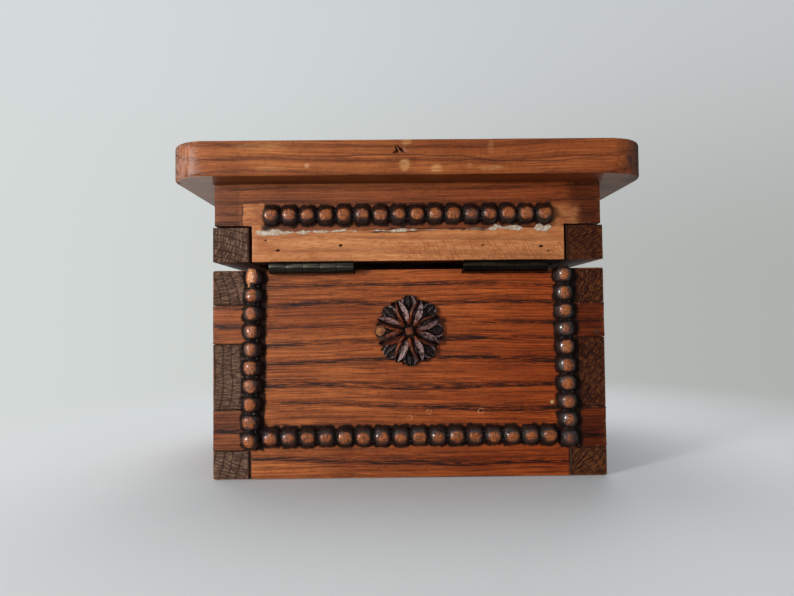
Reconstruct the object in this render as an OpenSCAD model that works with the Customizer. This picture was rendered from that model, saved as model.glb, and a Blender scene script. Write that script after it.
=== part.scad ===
// A small carved box of solid boards with open finger joints at its corners. Applied bead
// mouldings and a rosette dress each face. The lid is a jointed frame under a thick slab,
// and it hangs on two butt hinges let into the back rim.
// Millimetres. X runs along the width, Y from front to back and Z up. The origin lies
// under the middle of the box. Left and right are as seen from the front.

/* [Body] */
// Width over the side boards
body_w = 180; // [150:1:240]
// Depth over the front and back boards
body_d = 130; // [110:1:200]
// Height of the body's boards
body_h = 95.2; // [88:0.2:140]
// Thickness of all the boards of body and lid frame
board_t = 17; // [15:0.5:20]

/* [Finger joints of the body] */
// Height of the lowest finger, cut on the side boards
finger_1 = 13; // [12:0.5:18]
// Height of the second finger, cut on the front and back boards
finger_2 = 18.5; // [12:0.5:22]
// Height of the tall third finger, cut on the side boards
finger_3 = 30; // [20:0.5:32]
// How much taller the third finger stands at the left corners
finger_slip = 1.8; // [0:0.1:3]
// Height of the fourth finger, cut on the front and back boards
finger_4 = 17.8; // [10:0.2:18]

/* [Bottom panel] */
// Thickness of the panel
panel_t = 6; // [4:0.5:8]
// Height of the groove's floor above the table
panel_lift = 5; // [3:0.5:8]
// Depth of the groove in each board
groove_depth = 5; // [3:0.5:8]
// Height of the groove beyond the panel's thickness
groove_play = 0.2; // [0.1:0.1:0.5]
// Gap between the panel's edge and the groove's end, for the wood to move
panel_edge_gap = 0.5; // [0.2:0.1:1.5]

/* [Lid frame] */
// Height of the frame's back and side boards
lid_h = 36.1; // [30:0.1:50]
// Height of the side boards' finger in the frame's corners
lid_finger = 16.2; // [12:0.2:20]
// Open joint above each finger
lid_joint_top = 0.4; // [0.1:0.1:1]
// Open joint beside each finger
lid_joint_side = 0.9; // [0.1:0.1:1.5]
// How far the side boards stand out past the ends of the front and back boards
lid_joint_proud = 0.8; // [0.1:0.1:1.5]
// Gap between the lid's front board, which holds the lid level, and the rim under it
front_rest_gap = 0.3; // [0.1:0.1:1]

/* [Lid slab] */
// Thickness of the slab
slab_t = 15.8; // [10:0.1:22]
// Overhang of the slab past the boards, all round
slab_over = 16.4; // [10:0.2:22]
// Radius of the slab's corners in plan
slab_r = 17.5; // [8:0.5:30]
// Radius of the slab's eased edges
slab_ease = 1.2; // [0.5:0.1:3]

/* [Beading] */
// Length of one bead along its strip
bead_pitch = 8.25; // [6:0.25:12]
// Width of a bead across its strip
bead_w = 9.6; // [7:0.1:13]
// Height of the waist between two beads
bead_waist = 2; // [1.8:0.1:3]
// Width of the flat ground under the beads
strip_w = 8.8; // [6:0.1:12]
// Thickness of the flat ground
strip_t = 1.5; // [0.8:0.1:1.7]
// Least distance from a box's upright edge to the nearest strip
strip_inset = 14; // [12:0.1:24]
// Gap between the ends of a lower row and the upright strips beside them
strip_gap = 0.1; // [0.1:0.1:1]
// Height of the body's lower row, at its middle
row_z = 19; // [14:0.2:26]
// Height of the upright strips' lower ends
column_foot = 13.6; // [8:0.2:20]
// How far the upright strips may stand above the rim
column_stand = 1.6; // [0:0.1:2]
// Height of the lid's row above the frame's lower edge, at its middle
lid_row_z = 21.4; // [14:0.2:24]
// Diameter of the pins that hold the strips
sprig_d = 1.2; // [0.8:0.1:1.6]
// Depth to which these pins enter the boards
sprig_depth = 9; // [5:0.5:12]
// Play round these pins
sprig_play = 0.05; // [0.02:0.01:0.1]

/* [Rosette] */
// Height of the rosette's middle above the table
rosette_z = 66.8; // [60:0.2:100]
// Diameter over the tips of the lower petals
rosette_d = 32.4; // [24:0.2:40]
// Diameter over the tips of the upper petals
rosette_top_d = 30.6; // [22:0.2:38]
// Width of a petal
petal_w = 6.6; // [4:0.2:8]
// Width of a lower petal
low_petal_w = 9; // [6:0.2:11]
// Height of the upper petals
rosette_h = 4.8; // [3:0.1:7]
// Height of the lower petals
rosette_low_h = 2.8; // [1.5:0.1:3]
// Diameter of the round boss in the middle
boss_d = 4.6; // [3:0.2:8]
// Height of the boss
boss_h = 5.2; // [3:0.1:8]

/* [Hinges] */
// Length of a hinge
hinge_len = 38; // [32:1:50]
// Distance of a hinge's outer end from the upright strip beside it
hinge_strip_gap = 3.1; // [1:0.1:8]
// Gap that the hinges leave between the rim and the lid's frame
hinge_gap = 3.8; // [2.8:0.1:4.4]
// Number of knuckles of a hinge
knuckles = 5; // [3:2:7]
// Diameter of the barrel
barrel_d = 5.8; // [5:0.1:6.4]
// Diameter of the hinge pin
pin_d = 2.4; // [1.8:0.1:2.8]
// Radial play of the pin in its knuckles
pin_play = 0.05; // [0.02:0.01:0.09]
// Gap between neighbouring knuckles
knuckle_gap = 0.2; // [0.1:0.05:0.5]
// Gap between the barrel and the back face of the box
barrel_gap = 0.5; // [0.3:0.1:1]
// Thickness of a leaf
leaf_t = 1.2; // [1:0.1:1.3]
// Width of a leaf, from the pin's middle to its edge
leaf_w = 13.5; // [12:0.5:16]
// Gap round a leaf in its recess and beside the other leaf's knuckles
leaf_gap = 0.25; // [0.1:0.05:0.5]
// Number of screws in a leaf
screws = 3; // [2:1:3]
// Distance between a leaf's screws
screw_pitch = 12.5; // [10:0.5:14]
// Distance of the screws from the leaf's free edge
screw_edge = 5; // [4:0.5:7]
// Length of a hinge screw
screw_len = 12; // [8:0.5:14]
// Diameter of a screw's shank
screw_d = 2.4; // [1.8:0.1:2.8]
// Diameter of a screw's head
screw_head_d = 4.6; // [4:0.1:5.4]
// Height of a screw's countersunk head
screw_head_h = 1; // [0.7:0.1:1]
// Play round a screw in leaf and board
screw_play = 0.05; // [0.02:0.01:0.1]
// Width and depth of the slot in a screw's head
screw_slot = 0.5; // [0.4:0.1:0.7]

/* [Hidden] */

// Colours of the woods and the metal
oak = [0.5, 0.27, 0.13];
golden_oak = [0.6, 0.36, 0.19];
panel_oak = [0.45, 0.28, 0.16];
stained = [0.2, 0.1, 0.06];
old_metal = [0.2, 0.2, 0.17];
steel = [0.35, 0.35, 0.36];

// Every cutting shape runs this far past the face that it opens
over = 1;
$fn = 64;

// Places that follow from the sizes above
half_w = body_w / 2;
half_d = body_d / 2;
in_w = half_w - board_t;
in_d = half_d - board_t;
lid_z = body_h + hinge_gap;
slab_z = lid_z + lid_h;
finger_top = [finger_1, finger_1 + finger_2, finger_1 + finger_2 + finger_3,
    finger_1 + finger_2 + finger_3 + finger_4];
barrel_r = barrel_d / 2;
axis_y = half_d + barrel_gap + barrel_r;
axis_z = lid_z - barrel_r;
leaf_edge_y = axis_y - leaf_w;
screw_y = leaf_edge_y + screw_edge;

// Beads of a row on a face of this width, and where the upright strips beside it stand
function row_beads(width) =
    floor((width - 2 * (strip_inset + bead_w + strip_gap)) / bead_pitch);
function column_x(width) = row_beads(width) * bead_pitch / 2 + strip_gap + bead_w / 2;
column_beads = floor((body_h + column_stand - column_foot) / bead_pitch);
column_z = column_foot + column_beads * bead_pitch / 2;
hinge_x = column_x(body_w) - bead_w / 2 - hinge_strip_gap - hinge_len / 2;
// Joints between beads, counted from a strip's end, that hold a sprig
function row_sprigs(n) = [2, floor(n / 2), n - 2];
function column_sprigs(n) = [2, n - 2];

// The range from a to b on the positive side of an axis, or its mirror image
function side(s, a, b) = s > 0 ? [a, b] : [-b, -a];

// A block given by its range along each axis
module block(x, y, z) {
    translate([x[0], y[0], z[0]])
        cube([x[1] - x[0], y[1] - y[0], z[1] - z[0]]);
}

// Local x runs along a face, local y up, local z out of it. Turn 0 is the front,
// 90 the right, 180 the back and 270 the left.
module on_face(turn) {
    out = turn % 180 == 0 ? half_d : half_w;
    rotate([0, 0, turn])
        translate([0, -out, 0])
            rotate([90, 0, 0])
                children();
}

function face_width(turn) = turn % 180 == 0 ? body_w : body_d;

// Lower and upper end of finger row i, counted from 0, at the left or right corners
function finger_z(i, sx) = finger_top[i - 1] + (i == 3 && sx < 0 ? finger_slip : 0);
function finger_low(i, sx) = i == 0 ? -over : finger_z(i, sx);
function finger_high(i, sx) = i == 4 ? body_h + over : finger_z(i + 1, sx);

// The space of the bottom panel's groove
module groove_space() {
    x = in_w + groove_depth;
    y = in_d + groove_depth;
    block([-x, x], [-y, y], [panel_lift, panel_lift + panel_t + groove_play]);
}

// One sprig, its top level with the waists of the beads; play widens it into a bore
module sprig(play = 0) {
    top = play > 0 ? bead_w : bead_waist;
    translate([0, 0, -sprig_depth - play])
        cylinder(d = sprig_d + 2 * play, h = sprig_depth + play + top, $fn = 24);
}

// Sprigs of a strip of n beads that runs along local x
module strip_sprigs(n, joints, play = 0) {
    for (k = joints)
        translate([(k - n / 2) * bead_pitch, 0, 0])
            sprig(play);
}

// Sprigs of a body face's row and two columns
module face_sprigs(turn, play = 0) {
    n = row_beads(face_width(turn));
    on_face(turn) {
        translate([0, row_z, 0])
            strip_sprigs(n, row_sprigs(n), play);
        for (s = [-1, 1])
            translate([s * column_x(face_width(turn)), column_z, 0])
                rotate([0, 0, 90])
                    strip_sprigs(column_beads, column_sprigs(column_beads), play);
    }
}

// Sprigs of a lid face's row
module lid_face_sprigs(turn, play = 0) {
    n = row_beads(face_width(turn));
    on_face(turn)
        translate([0, lid_z + lid_row_z, 0])
            strip_sprigs(n, row_sprigs(n), play);
}

module box_sprigs(play = 0) {
    for (turn = [0, 90, 180, 270])
        face_sprigs(turn, play);
}

module lid_sprigs(play = 0) {
    for (turn = [0, 90, 180, 270])
        lid_face_sprigs(turn, play);
}

// Half beads as a split turning, on a flat ground, along local x
module bead_strip(n, joints) {
    reach = bead_w / 2 - bead_waist;
    arc_r = (reach * reach + bead_pitch * bead_pitch / 4) / (2 * reach);
    color(stained)
    difference() {
        union() {
            rotate([90, 0, 90])
                rotate_extrude(angle = 180)
                    for (i = [0 : n - 1])
                        translate([0, (i - (n - 1) / 2) * bead_pitch])
                            intersection() {
                                translate([bead_w / 2 - arc_r, 0])
                                    circle(r = arc_r);
                                translate([0, -bead_pitch / 2])
                                    square([bead_w, bead_pitch]);
                            }
            block([-n * bead_pitch / 2, n * bead_pitch / 2], [-strip_w / 2, strip_w / 2],
                [0, strip_t]);
        }
        strip_sprigs(n, joints, sprig_play);
    }
}

module body_bead_row(turn) {
    n = row_beads(face_width(turn));
    on_face(turn)
        translate([0, row_z, 0])
            bead_strip(n, row_sprigs(n));
}

// Column on the side s of a face, by local x
module body_bead_column(turn, s) {
    on_face(turn)
        translate([s * column_x(face_width(turn)), column_z, 0])
            rotate([0, 0, 90])
                bead_strip(column_beads, column_sprigs(column_beads));
}

module lid_bead_row(turn) {
    n = row_beads(face_width(turn));
    on_face(turn)
        translate([0, lid_z + lid_row_z, 0])
            bead_strip(n, row_sprigs(n));
}

// Eight pointed petals that reach from the middle to the given radius
module petals(reach, width, height, turn) {
    arc_r = (reach * reach + width * width) / (4 * width);
    linear_extrude(height = height)
        for (i = [0 : 7])
            rotate([0, 0, turn + 45 * i])
                translate([reach / 2, 0])
                    intersection() {
                        translate([0, arc_r - width / 2])
                            circle(r = arc_r);
                        translate([0, width / 2 - arc_r])
                            circle(r = arc_r);
                    }
}

module rosette(turn) {
    color(stained)
    on_face(turn)
        translate([0, rosette_z, 0])
            union() {
                petals(rosette_d / 2, low_petal_w, rosette_low_h, 0);
                petals(rosette_top_d / 2, petal_w, rosette_h, 22.5);
                cylinder(d = boss_d, h = boss_h);
            }
}

// Front or back board of the body, with fingers in the second and fourth rows
module box_end_board(sy) {
    color(oak)
    difference() {
        block([-half_w, half_w], side(sy, in_d, half_d), [0, body_h]);
        for (sx = [-1, 1], i = [0, 2, 4])
            block(side(sx, in_w, half_w + over), side(sy, in_d - over, half_d + over),
                [finger_low(i, sx), finger_high(i, sx)]);
        groove_space();
        box_sprigs(sprig_play);
        if (sy > 0)
            for (sx = [-1, 1]) {
                leaf_recess(sx);
                box_leaf_screws(sx, screw_play);
            }
    }
}

// Left or right board of the body, with fingers in the first, third and fifth rows
module box_side_board(sx) {
    color(oak)
    difference() {
        block(side(sx, in_w, half_w), [-half_d, half_d], [0, body_h]);
        for (sy = [-1, 1], i = [1, 3])
            block(side(sx, in_w - over, half_w + over), side(sy, in_d, half_d + over),
                [finger_low(i, sx), finger_high(i, sx)]);
        groove_space();
        box_sprigs(sprig_play);
    }
}

module box_bottom_panel() {
    x = in_w + groove_depth - panel_edge_gap;
    y = in_d + groove_depth - panel_edge_gap;
    color(panel_oak)
        block([-x, x], [-y, y], [panel_lift, panel_lift + panel_t]);
}

// The recess in the back rim that takes a hinge's lower leaf
module leaf_recess(sx) {
    reach = hinge_len / 2 + leaf_gap;
    block([sx * hinge_x - reach, sx * hinge_x + reach],
        [leaf_edge_y - leaf_gap, half_d + over], [axis_z - barrel_r, body_h + over]);
}

// A countersunk screw that points down, its head level with z = 0
module screw(play = 0) {
    shank_r = screw_d / 2 + play;
    head_r = screw_head_d / 2 + play;
    tip = screw_len + play;
    taper = screw_d;
    top = play > 0 ? over : 0;
    rotate_extrude($fn = 32)
        polygon([[0, top], [head_r, top], [head_r, 0], [shank_r, -screw_head_h],
            [shank_r, -tip + taper], [0, -tip]]);
}

module slotted_screw() {
    difference() {
        screw();
        block([-screw_head_d, screw_head_d], [-screw_slot / 2, screw_slot / 2],
            [-screw_slot, over]);
    }
}

// Where the screws of the hinge on side sx stand along x
function screw_xs(sx) = [for (i = [0 : screws - 1])
    sx * hinge_x + (i - (screws - 1) / 2) * screw_pitch];

// Bores for the screws of a box leaf, head up
module box_leaf_screws(sx, play) {
    for (x = screw_xs(sx))
        translate([x, screw_y, axis_z - barrel_r + leaf_t])
            screw(play);
}

// Bores for the screws of a lid leaf, head down
module lid_leaf_screws(sx, play) {
    for (x = screw_xs(sx))
        translate([x, screw_y, lid_z - leaf_t])
            rotate([180, 0, 0])
                screw(play);
}

// Lower and upper end along x of knuckle k
function knuckle_x(sx, k) = [
    sx * hinge_x - hinge_len / 2 + k * hinge_len / knuckles + (k > 0 ? knuckle_gap / 2 : 0),
    sx * hinge_x - hinge_len / 2 + (k + 1) * hinge_len / knuckles
        - (k < knuckles - 1 ? knuckle_gap / 2 : 0)];

// A leaf with every second knuckle from the first one given, flat between z0 and z0 + leaf_t
module leaf(sx, first, z0) {
    flat_end = axis_y - barrel_r - leaf_gap;
    difference() {
        union() {
            block([sx * hinge_x - hinge_len / 2, sx * hinge_x + hinge_len / 2],
                [leaf_edge_y, flat_end], [z0, z0 + leaf_t]);
            for (k = [first : 2 : knuckles - 1]) {
                x = knuckle_x(sx, k);
                block(x, [flat_end - over, axis_y], [z0, z0 + leaf_t]);
                translate([x[0], axis_y, axis_z])
                    rotate([0, 90, 0])
                        cylinder(r = barrel_r, h = x[1] - x[0]);
            }
        }
        translate([sx * hinge_x - hinge_len / 2 - over, axis_y, axis_z])
            rotate([0, 90, 0])
                cylinder(r = pin_d / 2 + pin_play, h = hinge_len + 2 * over);
    }
}

module box_hinge_leaf(sx) {
    color(old_metal)
    difference() {
        leaf(sx, 0, axis_z - barrel_r);
        box_leaf_screws(sx, screw_play);
    }
}

module lid_hinge_leaf(sx) {
    color(old_metal)
    difference() {
        leaf(sx, 1, lid_z - leaf_t);
        lid_leaf_screws(sx, screw_play);
    }
}

module hinge_pin(sx) {
    color(steel)
        translate([sx * hinge_x - hinge_len / 2, axis_y, axis_z])
            rotate([0, 90, 0])
                cylinder(d = pin_d, h = hinge_len);
}

module box_hinge_screws() {
    color(steel)
    for (sx = [-1, 1], x = screw_xs(sx))
        translate([x, screw_y, axis_z - barrel_r + leaf_t])
            slotted_screw();
}

module lid_hinge_screws() {
    color(steel)
    for (sx = [-1, 1], x = screw_xs(sx))
        translate([x, screw_y, lid_z - leaf_t])
            rotate([180, 0, 0])
                slotted_screw();
}

module box_bead_sprigs() {
    color(steel)
        box_sprigs();
}

module lid_bead_sprigs() {
    color(steel)
        lid_sprigs();
}

// Front or back board of the lid frame: full length above the fingers, shorter below.
// The front one reaches down to the rim.
module lid_end_board(sy) {
    x_top = half_w - lid_joint_proud;
    x_low = in_w - lid_joint_side;
    z_low = sy > 0 ? lid_z : body_h + front_rest_gap;
    z_top = lid_z + lid_finger + lid_joint_top;
    color(oak)
    difference() {
        block([-x_top, x_top], side(sy, in_d, half_d), [z_low, slab_z]);
        for (sx = [-1, 1])
            block(side(sx, x_low, half_w + over), side(sy, in_d - over, half_d + over),
                [z_low - over, z_top]);
        lid_sprigs(sprig_play);
        if (sy > 0)
            for (sx = [-1, 1])
                lid_leaf_screws(sx, screw_play);
    }
}

// Left or right board of the lid frame, its fingers below
module lid_side_board(sx) {
    color(oak)
    difference() {
        block(side(sx, in_w, half_w), [-half_d, half_d], [lid_z, slab_z]);
        for (sy = [-1, 1])
            block(side(sx, in_w - over, half_w + over), side(sy, in_d, half_d + over),
                [lid_z + lid_finger, slab_z + over]);
        lid_sprigs(sprig_play);
    }
}

// A rounded rectangle of the slab's thickness, its left edge at x = 0, and that wide
module eased_section(width) {
    r = slab_ease;
    union() {
        translate([-width, r])
            square([2 * width, slab_t - 2 * r]);
        translate([r - width, 0])
            square([2 * (width - r), slab_t]);
        for (x = [r - width, width - r], y = [r, slab_t - r])
            translate([x, y])
                circle(r = r);
    }
}

module lid_slab() {
    x = half_w + slab_over;
    y = half_d + slab_over;
    color(golden_oak)
    translate([0, 0, slab_z])
    union() {
        translate([0, y - slab_r, 0])
            rotate([90, 0, 0])
                linear_extrude(height = 2 * (y - slab_r))
                    eased_section(x);
        translate([slab_r - x, 0, 0])
            rotate([90, 0, 90])
                linear_extrude(height = 2 * (x - slab_r))
                    eased_section(y);
        for (sx = [-1, 1], sy = [-1, 1])
            translate([sx * (x - slab_r), sy * (y - slab_r), 0])
                rotate_extrude()
                    intersection() {
                        eased_section(slab_r);
                        square([slab_r, slab_t]);
                    }
    }
}

box_end_board(-1);  // box_front_board
box_end_board(1);  // box_back_board
box_side_board(-1);  // box_left_board
box_side_board(1);  // box_right_board
box_bottom_panel();
body_bead_row(0);  // front_bead_row
body_bead_column(0, -1);  // front_bead_column_left
body_bead_column(0, 1);  // front_bead_column_right
body_bead_row(180);  // back_bead_row
body_bead_column(180, 1);  // back_bead_column_left
body_bead_column(180, -1);  // back_bead_column_right
body_bead_row(270);  // left_bead_row
body_bead_column(270, 1);  // left_bead_column_front
body_bead_column(270, -1);  // left_bead_column_back
body_bead_row(90);  // right_bead_row
body_bead_column(90, -1);  // right_bead_column_front
body_bead_column(90, 1);  // right_bead_column_back
rosette(0);  // front_rosette
rosette(180);  // back_rosette
rosette(270);  // left_rosette
rosette(90);  // right_rosette
box_bead_sprigs();
box_hinge_leaf(-1);  // box_hinge_leaf_left
box_hinge_leaf(1);  // box_hinge_leaf_right
hinge_pin(-1);  // hinge_pin_left
hinge_pin(1);  // hinge_pin_right
box_hinge_screws();
lid_slab();
lid_end_board(-1);  // lid_front_board
lid_end_board(1);  // lid_back_board
lid_side_board(-1);  // lid_left_board
lid_side_board(1);  // lid_right_board
lid_bead_row(0);  // lid_front_bead_row
lid_bead_row(180);  // lid_back_bead_row
lid_bead_row(270);  // lid_left_bead_row
lid_bead_row(90);  // lid_right_bead_row
lid_bead_sprigs();
lid_hinge_leaf(-1);  // lid_hinge_leaf_left
lid_hinge_leaf(1);  // lid_hinge_leaf_right
lid_hinge_screws();
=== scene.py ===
# %% [markdown]
# # A small carved wooden box
#
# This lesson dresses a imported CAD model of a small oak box: finger-jointed boards, rows of
# half beads, a carved rosette on each face, and a framed lid under a thick slab. The CAD
# model is the frame. Nothing of it is moved. Each wooden piece is made anew with the marks
# of use, in the same place, and the metal pieces keep their CAD shape and get a finish.
#
# Everything is in metres. X runs along the width, Y from the front to the hinged back and
# Z up. The photograph shows the back, so the camera looks along -Y.

# %% Load the frame
import math
import random
from functools import reduce

import bpy
from mathutils import Matrix, Vector


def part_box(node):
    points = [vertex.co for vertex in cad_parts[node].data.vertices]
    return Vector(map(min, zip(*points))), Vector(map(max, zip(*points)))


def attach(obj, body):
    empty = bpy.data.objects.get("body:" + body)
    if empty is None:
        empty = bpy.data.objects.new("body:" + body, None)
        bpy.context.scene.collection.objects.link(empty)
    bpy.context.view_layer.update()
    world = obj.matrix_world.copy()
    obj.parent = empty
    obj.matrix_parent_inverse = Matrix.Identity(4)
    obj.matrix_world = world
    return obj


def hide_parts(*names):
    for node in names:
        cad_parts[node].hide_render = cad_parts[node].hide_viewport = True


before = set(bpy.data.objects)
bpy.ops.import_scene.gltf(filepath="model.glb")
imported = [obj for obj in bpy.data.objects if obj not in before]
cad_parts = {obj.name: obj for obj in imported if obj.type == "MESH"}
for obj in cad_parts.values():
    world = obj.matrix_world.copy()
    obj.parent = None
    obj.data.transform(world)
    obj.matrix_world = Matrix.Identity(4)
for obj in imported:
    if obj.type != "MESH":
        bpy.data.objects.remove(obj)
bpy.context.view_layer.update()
MM = 0.001

# %% [markdown]
# ## The camera
#
# The place and the tilt come from a fit of the box's corners, joints and beads to the
# photograph. The lens is a wide one, so the slab's underside shows at both ends.

# %% Camera
EYE = (0.00768, 0.33926, 0.07408)
PICTURE_WIDTH = 794
LENS_IN_PIXELS = 597
SENSOR = 36.0
PITCH, YAW, ROLL = (math.radians(a) for a in (1.638, -0.467, -0.577))

lens = bpy.data.cameras.new("camera")
lens.sensor_width = SENSOR
lens.lens = SENSOR * LENS_IN_PIXELS / PICTURE_WIDTH
lens.clip_start = 0.01
camera = bpy.data.objects.new("camera", lens)
bpy.context.scene.collection.objects.link(camera)
ahead = Vector((math.sin(YAW) * math.cos(PITCH), -math.cos(YAW) * math.cos(PITCH), math.sin(PITCH)))
level = ahead.cross(Vector((0, 0, 1))).normalized()
upward = level.cross(ahead)
right = level * math.cos(ROLL) + upward * math.sin(ROLL)
top = upward * math.cos(ROLL) - level * math.sin(ROLL)
camera.matrix_world = Matrix.Translation(EYE) @ Matrix((right, top, -ahead)).transposed().to_4x4()
bpy.context.scene.camera = camera
bpy.context.scene.view_settings.view_transform = "Standard"
print("lens", round(lens.lens, 2), "mm")

# %% [markdown]
# ## Building with nodes
#
# Materials are node trees, and a pattern that is worked out from distances takes many Math
# nodes. To keep that readable, a Wire holds the output of a node, and plain arithmetic on it
# adds the nodes: 1.0 - a * b makes two. Its steps turn a distance or a noise into a mask.

# %% Wires
class Wire:
    """The output of a node. Arithmetic on it adds nodes to its tree."""

    def __init__(self, socket):
        self.socket = socket
        self.tree = socket.id_data

    def __add__(self, other):
        return calc("ADD", self, other)

    def __sub__(self, other):
        return calc("SUBTRACT", self, other)

    def __rsub__(self, other):
        return calc("SUBTRACT", other, self)

    def __mul__(self, other):
        return calc("MULTIPLY", self, other)

    def __truediv__(self, other):
        return calc("DIVIDE", self, other)

    def __neg__(self):
        return calc("MULTIPLY", self, -1.0)

    def __abs__(self):
        return calc("ABSOLUTE", self)

    def __gt__(self, other):
        return calc("GREATER_THAN", self, other)

    def __lt__(self, other):
        return calc("LESS_THAN", self, other)

    __radd__ = __add__
    __rmul__ = __mul__

    def between(self, low, high, start=0.0, end=1.0):
        """A smooth step from start to end as the number goes from low to high."""
        inputs = {"Value": self, "From Min": low, "From Max": high, "To Min": start, "To Max": end}
        return wire(self.tree, "ShaderNodeMapRange", inputs, interpolation_type="SMOOTHSTEP")

    def fade(self, low, high):
        """1 up to low, then smoothly down to 0 at high."""
        return self.between(low, high, 1.0, 0.0)

    def near(self, place, inner, outer):
        """1 within inner of the place, 0 further off than outer."""
        return abs(self - place).fade(inner, outer)


def feed(socket, source):
    """Links a wire to the socket, or sets the socket to a plain value."""
    if isinstance(source, Wire):
        source.tree.links.new(source.socket, socket)
    elif socket.type == "RGBA":
        socket.default_value = (*source[:3], 1.0)
    else:
        socket.default_value = source


def feed_named(made, values):
    """Feeds inputs by name. Underscores stand for the spaces in a name."""
    for name, source in values.items():
        feed(made.inputs[name.replace("_", " ")], source)


def wire(tree, kind, inputs=(), output=0, **settings):
    """Adds a node and gives back one of its outputs."""
    made = tree.nodes.new(kind)
    for name, value in settings.items():
        setattr(made, name, value)
    for name, source in dict(inputs).items():
        feed(made.inputs[name], source)
    return Wire(made.outputs[output])


def tree_of(*sources):
    """The tree of the first wire among them."""
    return next(source.tree for source in sources if isinstance(source, Wire))


def calc(operation, *terms, clamp=False):
    inputs = dict(enumerate(terms))
    return wire(tree_of(*terms), "ShaderNodeMath", inputs, operation=operation, use_clamp=clamp)


def most(*terms):
    return reduce(lambda a, b: calc("MAXIMUM", a, b), terms)


def least(*terms):
    return reduce(lambda a, b: calc("MINIMUM", a, b), terms)


def apart(a, b):
    """How far a point lies that is a along and b across."""
    return calc("SQRT", a * a + b * b)


# %% [markdown]
# Colours and vectors get helpers of the same kind. A pattern that several materials share
# becomes a node group, and each material places it with its own values.

# %% Colours, noise and groups
def lay(share, under, over, mode="MIX"):
    """The colour over on the colour under, by a share from 0 to 1."""
    inputs = {0: share, 6: under, 7: over}
    return wire(tree_of(share, under, over), "ShaderNodeMix", inputs, 2, data_type="RGBA", blend_type=mode)


def blend(share, under, over):
    """The same with plain numbers in place of colours."""
    return wire(tree_of(share, under, over), "ShaderNodeMix", {0: share, 2: under, 3: over})


def vector_calc(operation, *terms, output="Vector"):
    return wire(tree_of(*terms), "ShaderNodeVectorMath", dict(enumerate(terms)), output, operation=operation)


def split(vector):
    """The three numbers of a vector, by axis."""
    made = vector.tree.nodes.new("ShaderNodeSeparateXYZ")
    feed(made.inputs[0], vector)
    return {axis: Wire(made.outputs[axis]) for axis in "XYZ"}


def speckle(vector, stretch, detail=2.0, roughness=0.5):
    """Noise whose blobs are about one metre over stretch, along all axes or along each."""
    steps = stretch if isinstance(stretch, tuple) else (stretch, stretch, stretch)
    scaled = vector_calc("MULTIPLY", vector, steps)
    inputs = {"Vector": scaled, "Scale": 1.0, "Detail": detail, "Roughness": roughness}
    return wire(vector.tree, "ShaderNodeTexNoise", inputs, "Fac")


def coordinate(tree, kind="Object"):
    return wire(tree, "ShaderNodeTexCoord", output=kind)


def attribute(tree, name, kind="Fac"):
    return wire(tree, "ShaderNodeAttribute", output=kind, attribute_name=name)


def bump(height, strength, distance):
    return wire(height.tree, "ShaderNodeBump", {"Strength": strength, "Distance": distance, "Height": height})


def new_group(name, inputs, outputs):
    """A node group, the wires that come in and the sockets that go out. A vector starts as None."""
    tree = bpy.data.node_groups.new(name, "ShaderNodeTree")
    for label, value in inputs.items():
        kind = "Vector" if value is None else "Color" if isinstance(value, tuple) else "Float"
        socket = tree.interface.new_socket(name=label, in_out="INPUT", socket_type="NodeSocket" + kind)
        if value is not None:
            socket.default_value = value
    for label, kind in outputs.items():
        tree.interface.new_socket(name=label, in_out="OUTPUT", socket_type="NodeSocket" + kind)
    come = {socket.name: Wire(socket) for socket in tree.nodes.new("NodeGroupInput").outputs}
    return tree, come, tree.nodes.new("NodeGroupOutput").inputs


def use_group(group, **inputs):
    """Places a group in the tree of its inputs and gives back its outputs by name."""
    made = tree_of(*inputs.values()).nodes.new("ShaderNodeGroup")
    made.node_tree = group
    feed_named(made, inputs)
    return {socket.name: Wire(socket) for socket in made.outputs}


def new_material(name):
    """A material, its tree and its Principled shader."""
    material = bpy.data.materials.new(name)
    material.use_nodes = True
    return material, material.node_tree, material.node_tree.nodes["Principled BSDF"]


# %% [markdown]
# ## Floor, backdrop and light
#
# The picture has a pale, cool background without an edge. A wide floor under a plain world
# gives that: near the box the floor is real and takes its shadow, and further out it fades
# into the colour of the world. One lamp stands on the left of the picture, as the window
# does, two soft ones help it, and the world fills the rest.

# %% World
LIT_SIDE = (0.66, 0.70, 0.68)
FAR_SIDE = (0.43, 0.44, 0.425)
HIGH_UP = (0.68, 0.72, 0.75)
SKY = (0.93, 0.97, 1.0)
SKY_STRENGTH = 0.50


def backdrop_colour(direction):
    """Paler towards the window on +X, and a little bluer and paler upwards."""
    part = split(direction)
    level = lay(part["X"].between(-0.62, 0.66), FAR_SIDE, LIT_SIDE)
    return lay(part["Z"].between(0.05, 0.45, 0.0, 0.45), level, HIGH_UP)


def seen_plainly(tree):
    """1 for the camera, mirrors and glass, 0 for the light that falls on things."""
    ray = tree.nodes.new("ShaderNodeLightPath").outputs
    return most(*(Wire(ray[f"Is {kind} Ray"]) for kind in ("Camera", "Glossy", "Transmission")))


world = bpy.data.worlds.new("studio")
bpy.context.scene.world = world
world.use_nodes = True
tree = world.node_tree
tree.nodes.clear()
backdrop = backdrop_colour(coordinate(tree, "Generated"))
lit = wire(tree, "ShaderNodeBackground", {"Color": SKY, "Strength": SKY_STRENGTH})
shown = wire(tree, "ShaderNodeBackground", {"Color": backdrop, "Strength": 1.0})
mixed = wire(tree, "ShaderNodeMixShader", {0: seen_plainly(tree), 1: lit, 2: shown})
feed(tree.nodes.new("ShaderNodeOutputWorld").inputs["Surface"], mixed)
print("world: light", SKY_STRENGTH, "shown", FAR_SIDE, "to", LIT_SIDE)

# %% Floor
FLOOR_NEAR, FLOOR_FAR, FLOOR_RADIUS = 0.13, 0.42, 4.0
UNDER_BOX = (0, 0, -0.2 * MM)

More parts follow.
